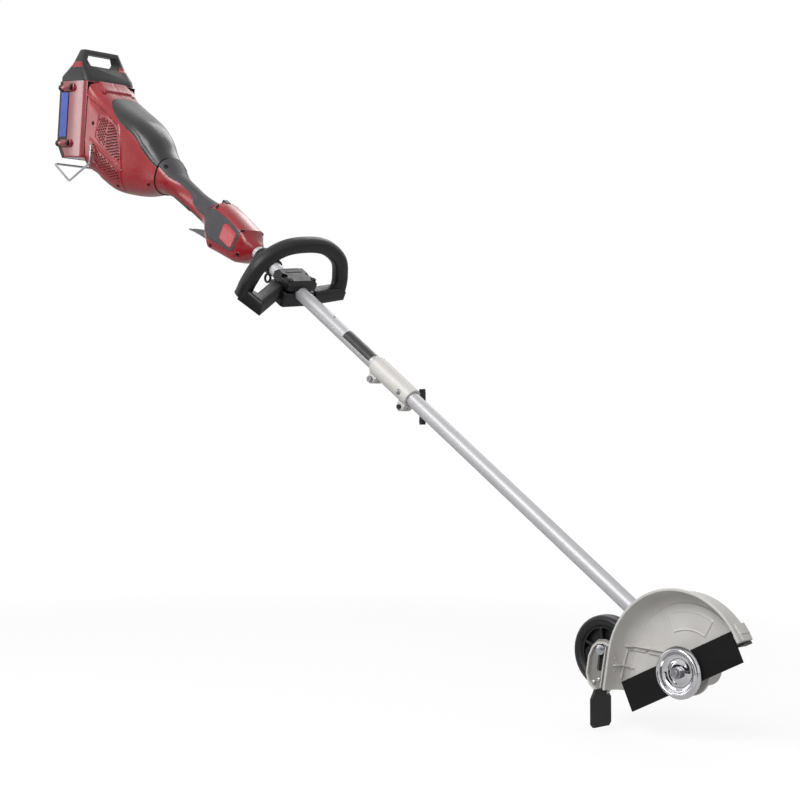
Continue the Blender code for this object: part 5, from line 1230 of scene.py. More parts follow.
@dataclass
class Housing:
    """Red motor housing: one moulded shell with vent fields, ridges and screw bosses, and the dark cover.

    The outlines are (x, z) pairs in the tool frame, in mm.
    """

    loft: Loft = Loft((
        (-200.7, -87.3, -275.3, 47.5, 56.0, 7.0), (-194.0, -98.0, -248.0, 42.0, 55.5, 5.0),
        (-174.0, -99.0, -207.0, 40.0, 54.0, 3.8), (-154.0, -102.0, -154.0, 43.0, 52.0, 3.4),
        (-116.0, -100.0, -116.0, 44.0, 49.0, 3.0), (-79.0, -87.0, -79.0, 38.0, 43.0, 2.7),
        (-44.0, -69.0, -44.0, 24.0, 36.0, 2.4), (0.0, -38.0, 0.0, 12.0, 30.0, 2.2)))
    wall_mm: float = 2.45
    panel: tuple = ((-1690.0, 23.0), (-1641.0, 22.6), (-1624.0, 21.8), (-1597.0, 21.0), (-1568.0, 19.5),
                    (-1549.0, 17.5), (-1539.0, 12.0), (-1517.0, -9.6), (-1497.0, -44.5), (-1478.0, -92.0),
                    (-1560.0, -130.0), (-1690.0, -130.0))
    upper_field: tuple = ((-1604.0, 8.0), (-1586.0, 12.5), (-1560.0, 13.0), (-1546.0, 9.0), (-1523.0, -13.0),
                          (-1504.0, -38.0), (-1530.0, -39.0), (-1566.0, -35.0), (-1592.0, -29.0))
    lower_field: tuple = ((-1594.0, -55.0), (-1570.0, -50.0), (-1540.0, -52.0), (-1503.0, -56.0),
                          (-1492.0, -64.0), (-1492.0, -74.0), (-1522.0, -80.0), (-1553.0, -79.0),
                          (-1580.0, -72.0))
    dotted: tuple = ((-1640.0, 40.0), (-1576.0, 40.0), (-1575.0, 19.0), (-1569.0, -11.0), (-1556.0, -36.0),
                     (-1556.0, -60.0), (-1640.0, -60.0))
    crease: tuple = ((-1606.0, -41.0), (-1577.0, -42.5), (-1544.0, -44.5), (-1503.0, -48.0), (-1492.0, -49.0))
    side_screws: tuple = ((-1612.7, -13.3), (-1500.1, -83.2), (-1424.0, -37.7))
    deck_screws_mm: tuple = ((-1641.0, -33.0, 60.0), (-1641.0, 33.0, 60.0))
    out_mm: float = 60.0
    panel_depth_mm: float = 1.7
    panel_rim_mm: float = 1.5
    field_depth_mm: float = 0.6
    deck_rise_mm: float = 3.4
    shoulder_drop_mm: float = 1.6
    seam_depth_mm: float = 0.5
    hole_mm: float = 1.75
    hole_pitch_mm: float = 5.6
    row_share: float = 0.87
    slot_pitch_mm: float = 5.4

    def build(self) -> None:
        """Make the shell, then lay its details on it."""
        shell = self.shell()
        cover = self.cover()
        skin = Skin.of(shell)
        for side in Side:
            self.vents(skin, side)
            self.crease_bead(skin, side)
        self.screws(Skin.of(shell, cover))
        self.sleeve()
        self.joint()
        self.bay_shade()

    def relief(self, grid: ndarray, normals: ndarray) -> ndarray:
        """Lift of each point of the shell: panels sunk into the sides, a deck raised at the top.

        The panel steps down inside its outline, with a rounded rim on it, and the vent fields once more.
        The deck steps up behind the shoulder, and the seam is a groove along the middle plane.

        Args:
            grid: Points in the tool frame.
            normals: Outward normals.

        Returns:
            Array of lifts in metres.
        """
        flat = grid[..., [0, 2]] / MM
        aside = eased((np.abs(normals[..., 1]) - 0.35) / 0.3)
        depth = inside_by(flat, np.array(self.panel))
        rim = self.panel_rim_mm * np.exp(-(depth / 1.7) ** 2)
        lift = (-self.panel_depth_mm * eased(depth / 2.4) + rim) * aside
        for field_mm in (self.upper_field, self.lower_field):
            lift -= self.field_depth_mm * eased((inside_by(flat, np.array(field_mm)) + 2.5) / 1.2) * aside
        split = np.abs(grid[..., 1]) / MM
        behind = eased((-1640.0 - flat[..., 0]) / 3.0) * eased((flat[..., 1] - 26.0) / 6.0)
        middle = eased((33.0 - split) / 2.5)
        deck = self.deck_rise_mm * behind * middle
        lift += (deck - self.shoulder_drop_mm * behind * (1.0 - middle)) * (1.0 - aside)
        lift -= self.seam_depth_mm * (1.0 - eased((split - 0.3) / 0.7))
        return lift * MM

    def shell(self) -> Object:
        """Shell of both halves: the loft lifted by the relief, its inside set in by the wall, its back shut.

        Returns:
            The shell.
        """
        places = np.linspace(0.0, 7.0, 210)
        ring = (np.full(len(places), -0.5 * np.pi), np.full(len(places), 1.5 * np.pi))
        outer = self.loft.sections(places, ring[0], ring[1], 301)[:, :-1]
        normals = self.loft.outward(outer, True)
        within = outer[::8] - normals[::8] * self.wall_mm * MM
        within[0] = within[0] + np.array([self.wall_mm * MM, 0.0, 0.0])
        rim = 2.6 * (1.0 - eased(places / 0.16)) * MM
        raised = outer + normals * (self.relief(outer, normals) - rim[:, None])[..., None]
        back = np.repeat(outer[:1].mean(axis=1, keepdims=True), outer.shape[1], axis=1)
        stop = np.repeat(within[:1].mean(axis=1, keepdims=True), outer.shape[1], axis=1)
        grid = np.concatenate([back, raised, within[::-1], stop])
        obj = surface("housing_shell", TOOL.place(grid), ring_cols=True)
        return dress(obj, Stock.RED, "power_head", 40.0, ("housing_left", "housing_right"))

    def cover(self) -> Object:
        """Dark saddle over the housing: rounded at the back, cut by the slanting neck joint.

        The lift falls off in a rounded rim and is less in a strip along each edge, 2 to 8 mm wide.

        Returns:
            The cover.
        """
        places = np.linspace(1.5, 6.7, 240)
        known = [1.5, 2.1, 2.5, 3.0, 3.63, 4.22, 4.64, 5.08, 6.0, 6.7]
        edge = np.radians(np.interp(places, known, [60.0, 57.0, 44.0, 37.0, 35.5, 35.5, 33.0, 28.0, 27.0,
                                                    27.0]))
        count = 181
        share = np.abs(np.linspace(-1.0, 1.0, count))
        outer = self.loft.warped(places, edge, np.pi - edge, count, 1.66 + 0.5 * share ** 4,
                                 6.5 - 0.12 * (1.0 - share ** 2), 200)
        run = from_edges(outer)
        along = np.cumsum(np.linalg.norm(np.diff(outer, axis=0, prepend=outer[:1]), axis=-1), axis=0)
        rim = np.minimum(run, along) / MM
        lift = 2.8 - 1.9 * (1.0 - eased(rim / 3.2))
        narrowed = 1.0 - 0.4 * eased((along / MM - 150.0) / 40.0)
        strip = 2.0 + 6.0 * eased((along / MM - 25.0) / 70.0) * narrowed
        lift -= 0.4 * (1.0 - eased((run / MM - strip) / 3.5)) * eased((along / MM - 18.0) / 20.0)
        obj = moulded_skin("cover_shell", outer, self.loft.outward(outer, False), lift, 0.3)
        return dress(obj, Stock.COVER, "power_head", 50.0, ("top_cover",))

    @staticmethod
    def level(outline: tuple) -> ndarray:
        """World x and z in mm of an outline of the housing's side."""
        return TOOL.place_mm(lifted(outline, 1, 0.0))[:, [0, 2]] / MM

    def hole_rows(self, field_mm: ndarray, within: ndarray | None = None) -> ndarray:
        """Centres of level rows of holes inside an outline, each row half a pitch off the one below.

        Args:
            field_mm: (n, 2) outline.
            within: A second outline that they also keep inside, or None.

        Returns:
            (m, 2) array in mm.
        """
        low, high = field_mm.min(axis=0), field_mm.max(axis=0)
        rows = []
        for k, z in enumerate(np.arange(low[1], high[1], self.hole_pitch_mm * self.row_share)):
            x = np.arange(low[0] + (k % 2) * self.hole_pitch_mm / 2, high[0], self.hole_pitch_mm)
            spots = np.stack([x, np.full_like(x, z)], axis=-1)
            keep = inside_by(spots, field_mm) > 1.4
            if within is not None:
                keep &= inside_by(spots, within) > 1.0
            rows.append(spots[keep])
        return np.concatenate(rows)

    def vents(self, skin: Skin, side: Side) -> None:
        """Two fields of round holes and a block of level slots, in world-level rows. Each hole is a flat dark
        disc, painted shade of the opening, inside a raised red rim.

        Args:
            skin: The shell.
            side: Side they are on.
        """
        upper, lower, dotted = map(self.level, (self.upper_field, self.lower_field, self.dotted))
        self.slots(skin, side, upper, dotted)
        spots = np.concatenate([self.hole_rows(upper, dotted), self.hole_rows(lower)])
        starts = lifted(spots, 1, side.value * self.out_mm) * MM
        hits, normals = skin.drop(starts, side.inward)
        r = self.hole_mm
        # Flat near-black discs in the holes: painted shade of the openings
        holes = stamp("vent_holes_" + side.mark, [(0.0, 0.12), (r, 0.12), (r, -0.5), (0.0, -0.5)], hits,
                      normals, 12)
        dress(holes, Stock.SHADE_BLACK, "power_head")
        rims = stamp("vent_rims_" + side.mark, [(0.0, -0.5), (0.0, -0.3), (r, -0.3), (r, 0.25), (2.05, 0.42),
                                                (2.45, 0.05), (2.45, -0.5), (0.0, -0.5)], hits, normals, 12)
        dress(rims, Stock.RED, "power_head", 60.0)

    def slots(self, skin: Skin, side: Side, field_mm: ndarray, dotted: ndarray) -> None:
        """Level slots in the front part of the upper field, each a flat dark strip painted as the opening's
        shade, with a lip below it.

        Args:
            skin: The shell.
            side: Side they are on.
            field_mm: (n, 2) outline that they keep inside.
            dotted: (m, 2) outline of the holes, which they keep outside.
        """
        low, high = field_mm.min(axis=0), field_mm.max(axis=0)
        for k, z in enumerate(np.arange(low[1] + 2.0, high[1], self.slot_pitch_mm)):
            x = np.arange(low[0], high[0], 0.5)
            spots = np.stack([x, np.full_like(x, z)], axis=-1)
            keep = x[(inside_by(spots, field_mm) > 1.2) & (inside_by(spots, dotted) < -1.0)]
            if len(keep) < 8:
                continue
            ends = np.array([[end, side.value * self.out_mm, z] for end in (keep[0], keep[-1])]) * MM
            # The slot is a thin near-black strip: painted shade of the opening
            slot = ridge("vent_slot_%s_%d" % (side.mark, k), skin, ends, side.inward, 2.0, 0.15, PLATE, 3.0)
            dress(slot, Stock.SHADE_BLACK, "power_head")
            lower = ends - np.array([0.0, 0.0, 1.9 * MM])
            lip = ridge("vent_lip_%s_%d" % (side.mark, k), skin, lower, side.inward, 1.7, 0.9, DOME, 3.0)
            dress(lip, Stock.RED, "power_head", 60.0)

    def crease_bead(self, skin: Skin, side: Side) -> None:
        """Raised crease between the vent fields."""
        line = TOOL.place_mm(lifted(self.crease, 1, side.value * self.out_mm))
        bead = ridge("crease_bead_" + side.mark, skin, line, side.inward, 6.5, 1.5)
        dress(bead, Stock.RED, "power_head", 60.0)

    def screws(self, skin: Skin) -> None:
        """Sunk screws along the housing's joint, on both sides, and two on the deck.

        Args:
            skin: The shell and the cover.
        """
        hits, normals = skin.drop(*both_sides(self.side_screws, self.out_mm))
        sunk_screws("housing", hits, normals, "power_head", Stock.RED)
        hits, normals = skin.drop(TOOL.place_mm(self.deck_screws_mm), TOOL.toward(0.0, 0.0, -1.0))
        sunk_screws("deck", hits, normals, "power_head", Stock.RED, 4.6)

    def sleeve(self) -> None:
        """Red lower half of the neck, from the slanting joint to the grip, thinning towards the grip."""
        places = np.linspace(0.0, 2.6, 60)
        edge = np.full(len(places), math.radians(37.5))
        grid = NECK_LOFT.sections(places, -np.pi - edge, edge, 121)
        lift = 1.1 - 1.5 * eased((places - 0.6) / 1.9)
        obj = moulded_skin("neck_sleeve", grid, NECK_LOFT.outward(grid, False), lift[:, None], -1.2)
        dress(obj, Stock.RED, "power_head", 50.0)

    def joint(self) -> None:
        """Dark ring of the slanting neck joint, standing out further over the top than below. Its near-black
        is partly the isolator's own colour and partly painted shade of the joint's groove.
        """
        start, low, high = np.array([0.0]), np.array([-0.5 * np.pi]), np.array([1.5 * np.pi])
        ring = NECK_LOFT.sections(start, low, high, 97)[0, :-1]
        out = ring - ring.mean(axis=0)
        out /= np.linalg.norm(out, axis=1, keepdims=True)
        rise = 1.7 + 0.9 * eased((ring[:, 2] / MM + 2.0) / 6.0)
        back = np.array([-1.0, 0.0, 0.0]) * MM
        low_ring, high_ring = ring - out * 3.0 * MM, ring + out * (rise * MM)[:, None]
        rows = [low_ring + back * 2.2, high_ring + back * 2.2, high_ring - back * 1.2, low_ring - back * 1.2]
        obj = surface("neck_joint", TOOL.place(np.array(rows)), ring_rows=True, ring_cols=True)
        # Near-black: the isolator's own dark colour, and painted shade of the groove at the joint
        dress(obj, Stock.SHADE_BLACK, "power_head", 40.0, ("neck_isolator",))

    def bay_shade(self) -> None:
        """Dark plate on the battery bay's wall: painted shade, seen in the groove beside the pack."""
        wall = Placement(BAY.origin, BAY.axes[[1, 2, 0]])
        # Near-black plate: painted shade of the gap between the pack and the housing
        bay_shade = box_piece("bay_shade_plate", wall, (-55.0, -66.0, -0.26), (55.0, 75.0, 0.4), 0.12)
        dress(bay_shade, Stock.SHADE_BLACK, "power_head", 40.0)


@dataclass
class Grip:
    """Rear grip and switch pod: soft overmould, its wings round the badge, and the pod's screws.

    The outlines are (x, z) pairs in the tool frame, in mm.
    """

    wing: tuple = ((-1274.0, -8.0), (-1262.0, -12.0), (-1252.0, -17.0), (-1243.0, -26.0), (-1227.0, -34.5),
                   (-1190.0, -27.5), (-1156.0, -21.5), (-1151.5, -16.0), (-1151.5, 12.0), (-1157.0, 18.5),
                   (-1196.0, 21.0), (-1238.0, 19.0), (-1252.0, 12.0), (-1266.0, 4.0), (-1276.0, 2.0))
    badge: tuple = ((-1196.0, -14.5), (-1198.5, 10.0), (-1194.0, 14.0), (-1187.0, 15.2), (-1162.0, 12.8),
                    (-1158.0, 8.0), (-1157.2, -12.5), (-1163.0, -17.8), (-1192.0, -17.6))
    plate_mm: float = 0.9
    out_mm: float = 40.0
    strips: tuple = (("grip_under_strip", -1366.0, -1320.0, 1.9), ("grip_under_tail", -1324.0, -1270.0, 0.5))
    strip_width_mm: float = 28.0
    pod_screws: tuple = ((-1141.5, -17.9), (-1238.0, 23.0), (-1214.0, -42.0))

    def build(self) -> None:
        """Make the overmould, wings, badge, under-strip and screws."""
        self.overmould()
        skin = Skin.of_nodes("grip_pod_left", "grip_pod_right")
        for side in Side:
            wing = self.plate("pod_wing_" + side.mark, skin, self.wing, side, 4.0)
            dress(wing, Stock.SOFT, "power_head", 60.0)
            if side is Side.RIGHT:
                badge = self.plate("pod_badge", Skin.of(wing), self.badge, side, 2.0, 0.06)
                dress(badge, Stock.BADGE, "power_head", 60.0, ("badge_plate",))
        for name, first, last, high in self.strips:
            line = TOOL.place_mm([(first, 0.0, -60.0), (last, 0.0, -60.0)])
            strip = ridge(name, skin, line, TOOL.toward(0.0, 0.0, 1.0), self.strip_width_mm, high, PLATE, 4.0)
            dress(strip, Stock.SOFT, "power_head", 60.0)
        self.screws(skin)

    def plate(self, name: str, skin: Skin, outline: tuple, side: Side, step_mm: float,
              edge_share: float = 0.04) -> Object:
        """Thin plate laid on one side of the pod."""
        rim = stepped(lifted(outline + outline[:1], 1, side.value * self.out_mm) * MM, step_mm)
        return patch(name, skin, TOOL.place(rim[:-1]), side.inward, self.plate_mm, edge_share)

    def overmould(self) -> None:
        """Soft skin over the grip's top from the neck joint, its lower edge stepping down before the pod."""
        places = np.linspace(0.0, 7.15, 190)
        edge = np.radians(np.interp(places, [0.0, 2.0, 3.0, 4.0, 4.6, 4.85, 5.0, 5.6, 6.4, 7.2],
                                    [27.0, 36.0, 38.0, 36.0, 33.0, 18.0, 4.0, -5.0, -6.0, -8.0]))
        outer = NECK_LOFT.sections(places, edge, np.pi - edge, 121)
        height = 1.9 + 0.9 * (1.0 - eased(places / 1.6)) - 1.1 * eased((places - 6.0) / 1.0)
        lift = height[:, None] - 1.1 * (1.0 - eased(from_edges(outer) / MM / 1.8))
        obj = moulded_skin("overmould_skin", outer, NECK_LOFT.outward(outer, False), lift, 0.2)
        dress(obj, Stock.SOFT, "power_head", 50.0, ("grip_overmould",))

    def screws(self, skin: Skin) -> None:
        """Sunk screws of the pod's two halves and of the neck.

        Args:
            skin: The pod.
        """
        places, ways = both_sides(self.pod_screws, 50.0)
        top = TOOL.place_mm([(-1149.0, side.value * 22.5, 40.0) for side in Side])
        slant = np.array([TOOL.toward(-0.3, 0.0, -1.0)] * len(top))
        hits, normals = skin.drop(np.concatenate([places, top]), np.concatenate([ways, slant]))
        sunk_screws("pod", hits, normals, "power_head", Stock.RED, 3.9)
        places = TOOL.place_mm([(-1407.0, side.value * 23.0, 40.0) for side in Side])
        cover = Skin.of(bpy.data.objects["overmould_skin"])
        hits, normals = cover.drop(places, TOOL.toward(0.0, 0.0, -1.0))
        sunk_screws("neck", hits, normals, "power_head", Stock.SOFT, 4.2)


@dataclass
class Pack:
    """Battery pack: glossy case, dark back cover, clips, cap bands and panel frame, in the bay's frame."""

    front_mm: float = -0.3
    half_mm: float = 57.5
    bevel_mm: tuple[Pair, Pair] = ((-86.0, -43.0), (-67.0, -69.0))
    top_mm: float = 77.0
    front_radius_mm: float = 13.0
    back_radius_mm: float = 2.5
    taper_share: float = 0.05
    taper_run_mm: float = 50.0
    cover_depth_mm: float = 9.0
    band_mm: Pair = (103.5, 114.5)
    clip_heights_mm: Pair = (-42.0, 64.0)
    clip_ends_mm: Pair = (-80.5, -47.0)
    barrel_mm: tuple = ((0.0, 0.0), (4.2, 0.0), (5.0, 0.8), (5.0, 33.0), (4.2, 34.0), (0.0, 34.0))
    end_mm: tuple = ((0.0, 0.0), (5.4, 0.0), (6.2, 0.8), (6.2, 5.2), (5.4, 6.0), (0.0, 6.0))

    def build(self) -> None:
        """Make each piece on the battery."""
        case = self.case()
        self.back_cover()
        cap = Skin.of_nodes("battery_cap")
        for side in Side:
            self.leg_band(cap, side)
            self.clips(side)
        self.panel_frame(Skin.of(case))

    def case(self) -> Object:
        """Case: a rounded rectangle up the bay's height, its lower back bevelled.

        Its width shrinks towards the front by taper_share times the square of the share of taper_run_mm
        covered.

        Returns:
            The case.
        """
        (top_x, top_z), (low_x, low_z) = self.bevel_mm
        heights = np.concatenate([[low_z, low_z + 0.7, low_z + 2.5], np.linspace(low_z + 5.0, top_z, 12),
                                  np.linspace(top_z + 4.0, self.top_mm, 30)])
        insets = np.zeros(len(heights))
        insets[:2] = (2.5, 0.8)
        front, back = self.front_radius_mm, self.back_radius_mm
        rows = []
        for z, inset in zip(heights, insets):
            x = np.interp(z, [low_z, top_z], [low_x, top_x])
            ring = rounded_ring((x + inset, -self.half_mm + inset),
                                (self.front_mm - inset, self.half_mm - inset),
                                (front, back, back, front), 16)
            closed = np.vstack([ring, ring[:1]])
            run = np.concatenate([[0.0], np.cumsum(np.linalg.norm(np.diff(closed, axis=0), axis=1))])
            steps = np.linspace(0.0, run[-1], 360, endpoint=False)
            ring = np.stack([np.interp(steps, run, closed[:, k]) for k in (0, 1)], axis=-1)
            ahead = np.clip((ring[:, 0] + self.taper_run_mm) / self.taper_run_mm, 0.0, 1.0)
            ring[:, 1] *= 1.0 - self.taper_share * ahead ** 2
            rows.append(lifted(ring, 2, z))
        obj = surface("pack_case", BAY.place_mm(rows), ring_cols=True, capped=True)
        return dress(obj, Stock.PACK_RED, "battery", 40.0, ("battery_case",))

    def back_cover(self) -> None:
        """Dark cover round the pack's back: a rounded strip carried down the back and along its bevel."""
        (top_x, top_z), (low_x, low_z) = self.bevel_mm
        path = np.array([(top_x, 0.0, self.top_mm - 1.0), (top_x, 0.0, 20.0), (top_x, 0.0, top_z + 3.0),
                         (top_x + 0.6, 0.0, top_z), (low_x - 2.5, 0.0, low_z + 3.0),
                         (low_x, 0.0, low_z - 0.4)]) * MM
        half = self.half_mm + 0.7
        ring = rounded_ring((-half, -0.6), (half, self.cover_depth_mm), (0.6, 0.6, 2.6, 2.6), 6)
        grid = sweep(path, ring * [1.0, -1.0] * MM, np.array([-1.0, 0.0, 0.0]))
        obj = surface("pack_back_cover", BAY.place(grid), ring_cols=True, capped=True)
        dress(obj, Stock.BLACK, "battery", 40.0)

    def leg_band(self, skin: Skin, side: Side) -> None:
        """Red band round the outside and back of one of the cap's legs, dropped towards the leg's middle.

        Args:
            skin: The cap.
            side: Side of the leg.
        """
        right = side is Side.RIGHT
        turn = np.radians(np.linspace(-26.0 if right else 30.0, -200.0, 60)) * (1.0 if right else -1.0)
        way = np.stack([np.cos(turn), np.sin(turn), np.zeros_like(turn)], axis=-1)
        center = np.array([-43.0, side.value * 43.0, 0.0]) * MM
        start = center + way * 60.0 * MM
        low, high = (BAY.place(start + np.array([0.0, 0.0, height * MM])) for height in self.band_mm)
        obj = band("cap_band_" + side.mark, skin, low, high, -(way @ BAY.axes), 0.35)
        dress(obj, Stock.RED, "battery", 50.0)

    def clips(self, side: Side) -> None:
        """Two round clips with black ends on the pack's side, each on a red foot.

        Args:
            side: Side they are on.
        """
        y = side.value * 59.8
        near, far = sorted((side.value * 56.0, side.value * 61.0))
        for number, height in enumerate(self.clip_heights_mm):
            label = "%s_%d" % (side.mark, number)
            foot = box_piece("clip_foot_" + label, BAY, (-70.0, near, height - 7.5),
                             (-38.0, far, height + 7.5), 2.0)
            dress(foot, Stock.PACK_RED, "battery", 40.0)
            self.turned("clip_barrel_" + label, self.barrel_mm, (-77.0, y, height), Stock.PACK_RED)
            for end, start in enumerate(self.clip_ends_mm):
                self.turned("clip_end_%s_%d" % (label, end), self.end_mm, (start, y, height), Stock.BLACK)

    @staticmethod
    def turned(name: str, profile: tuple, foot_mm: Triple, stock: Stock) -> None:
        """Round bar along the bay's first axis."""
        grid = revolve(profile, BAY, tuple(value * MM for value in foot_mm), "x", 28)
        dress(surface(name, grid, ring_cols=True), stock, "battery", 40.0)

    def panel_frame(self, skin: Skin) -> None:
        """Thin dark frame under the blue panel.

        Args:
            skin: The case.
        """
        low, high = (-81.0, -35.0), (-54.5, 57.5)
        corners = ((low[0], low[1]), (high[0], low[1]), (high[0], high[1]), (low[0], high[1]),
                   (low[0], low[1]))
        rim = stepped(lifted(corners, 1, -70.0) * MM, 4.0)
        plate = patch("panel_frame", skin, BAY.place(rim[:-1]), Side.RIGHT.inward, 0.35, 0.02)
        dress(plate, Stock.BLACK, "battery")


@dataclass
class LoopHandle:
    """Front handle: a smooth arch of black foam on two base bars of black nylon."""

    arch_mm: tuple = ((-2.0, -102.5, -8.0), (-0.5, -99.5, 14.0), (0.0, -84.0, 47.5), (0.0, -46.0, 72.5),
                      (0.0, 0.0, 79.0), (0.0, 45.0, 73.5), (0.0, 83.6, 49.0), (0.0, 99.5, 15.5),
                      (4.0, 99.5, -6.0))
    feet_mm: tuple = ((-3.5, -103.2, -15.0), (6.0, 98.0, -15.0))
    half_mm: Pair = (13.5, 13.0)
    bar_half_mm: Pair = (12.9, 12.4)
    bars_mm: tuple = (
        ("right", ((2.0, -33.0, -5.0), (2.0, -39.0, -5.0), (26.5, -88.5, -17.0), (-4.0, -101.5, -12.0))),
        ("left", ((14.0, 33.0, -13.0), (14.0, 39.0, -13.0), (6.0, 98.0, -12.5), (5.0, 99.0, -8.0))))

    def build(self) -> None:
        """Make the arch and bars."""
        path = np.concatenate([np.array(self.feet_mm[:1]) * MM, dense(self.arch_mm, 10),
                               np.array(self.feet_mm[1:]) * MM])
        forward = np.array([1.0, 0.0, 0.0])
        grid = sweep(path, squarish_ring(self.half_mm, 2.4, 32), forward)
        loop = surface("loop_grip", LOOP.place(grid), ring_cols=True, capped=True)
        dress(loop, Stock.FOAM, "handle", 45.0, ("d_handle",))
        for mark, corners in self.bars_mm:
            grid = mitred(np.array(corners) * MM, squarish_ring(self.bar_half_mm, 5.0, 40), forward)
            bar = surface("loop_bar_" + mark, LOOP.place(grid), ring_cols=True, capped=True)
            soften_edges(bar, 0.8, 50.0)
            dress(bar, Stock.BLACK, "handle", 35.0)
        self.clamp_details()

    def clamp_details(self) -> None:
        """Two ribs across the clamp's cap, and its two sunk bolts."""
        skin = Skin.of_nodes("handle_clamp_cap")
        down = HANDLE.toward(0.0, 0.0, -1.0)
        for k, x in enumerate((-21.0, -9.0)):
            ends = HANDLE.place_mm([(x, -17.0, 40.0), (x, 17.0, 40.0)])
            rib = ridge("clamp_rib_%d" % k, skin, ends, down, 3.6, 0.7, DOME, 2.0)
            dress(rib, Stock.BLACK, "handle", 60.0)
        hits, normals = skin.drop(HANDLE.place_mm([(16.0, side.value * 24.5, 40.0) for side in Side]), down)
        sunk_screws("clamp", hits, normals, "handle", Stock.BLACK, 4.4)


def mitred(path: ndarray, section: ndarray, up: ndarray) -> ndarray:
    """Grid of a section carried along straight runs, cut at each corner along the plane halfway between.

    Args:
        path: (n, 3) corners.
        section: (m, 2) array of (side, rise) pairs.
        up: Direction that rise leans to.

    Returns:
        (n, m, 3) array.
    """
    rows = []
    runs = np.diff(path, axis=0)
    runs /= np.linalg.norm(runs, axis=1, keepdims=True)
    for k, here in enumerate(path):
        ahead = runs[min(k, len(runs) - 1)]
        behind = runs[max(k - 1, 0)]
        plane = ahead + behind
        plane /= np.linalg.norm(plane)
        side = np.cross(behind, up)
        side /= np.linalg.norm(side)
        rise = np.cross(side, behind)
        flat = side[None, :] * section[:, :1] + rise[None, :] * section[:, 1:]
        slide = -(flat @ plane) / (behind @ plane)
        rows.append(here + flat + slide[:, None] * behind)
    return np.array(rows)


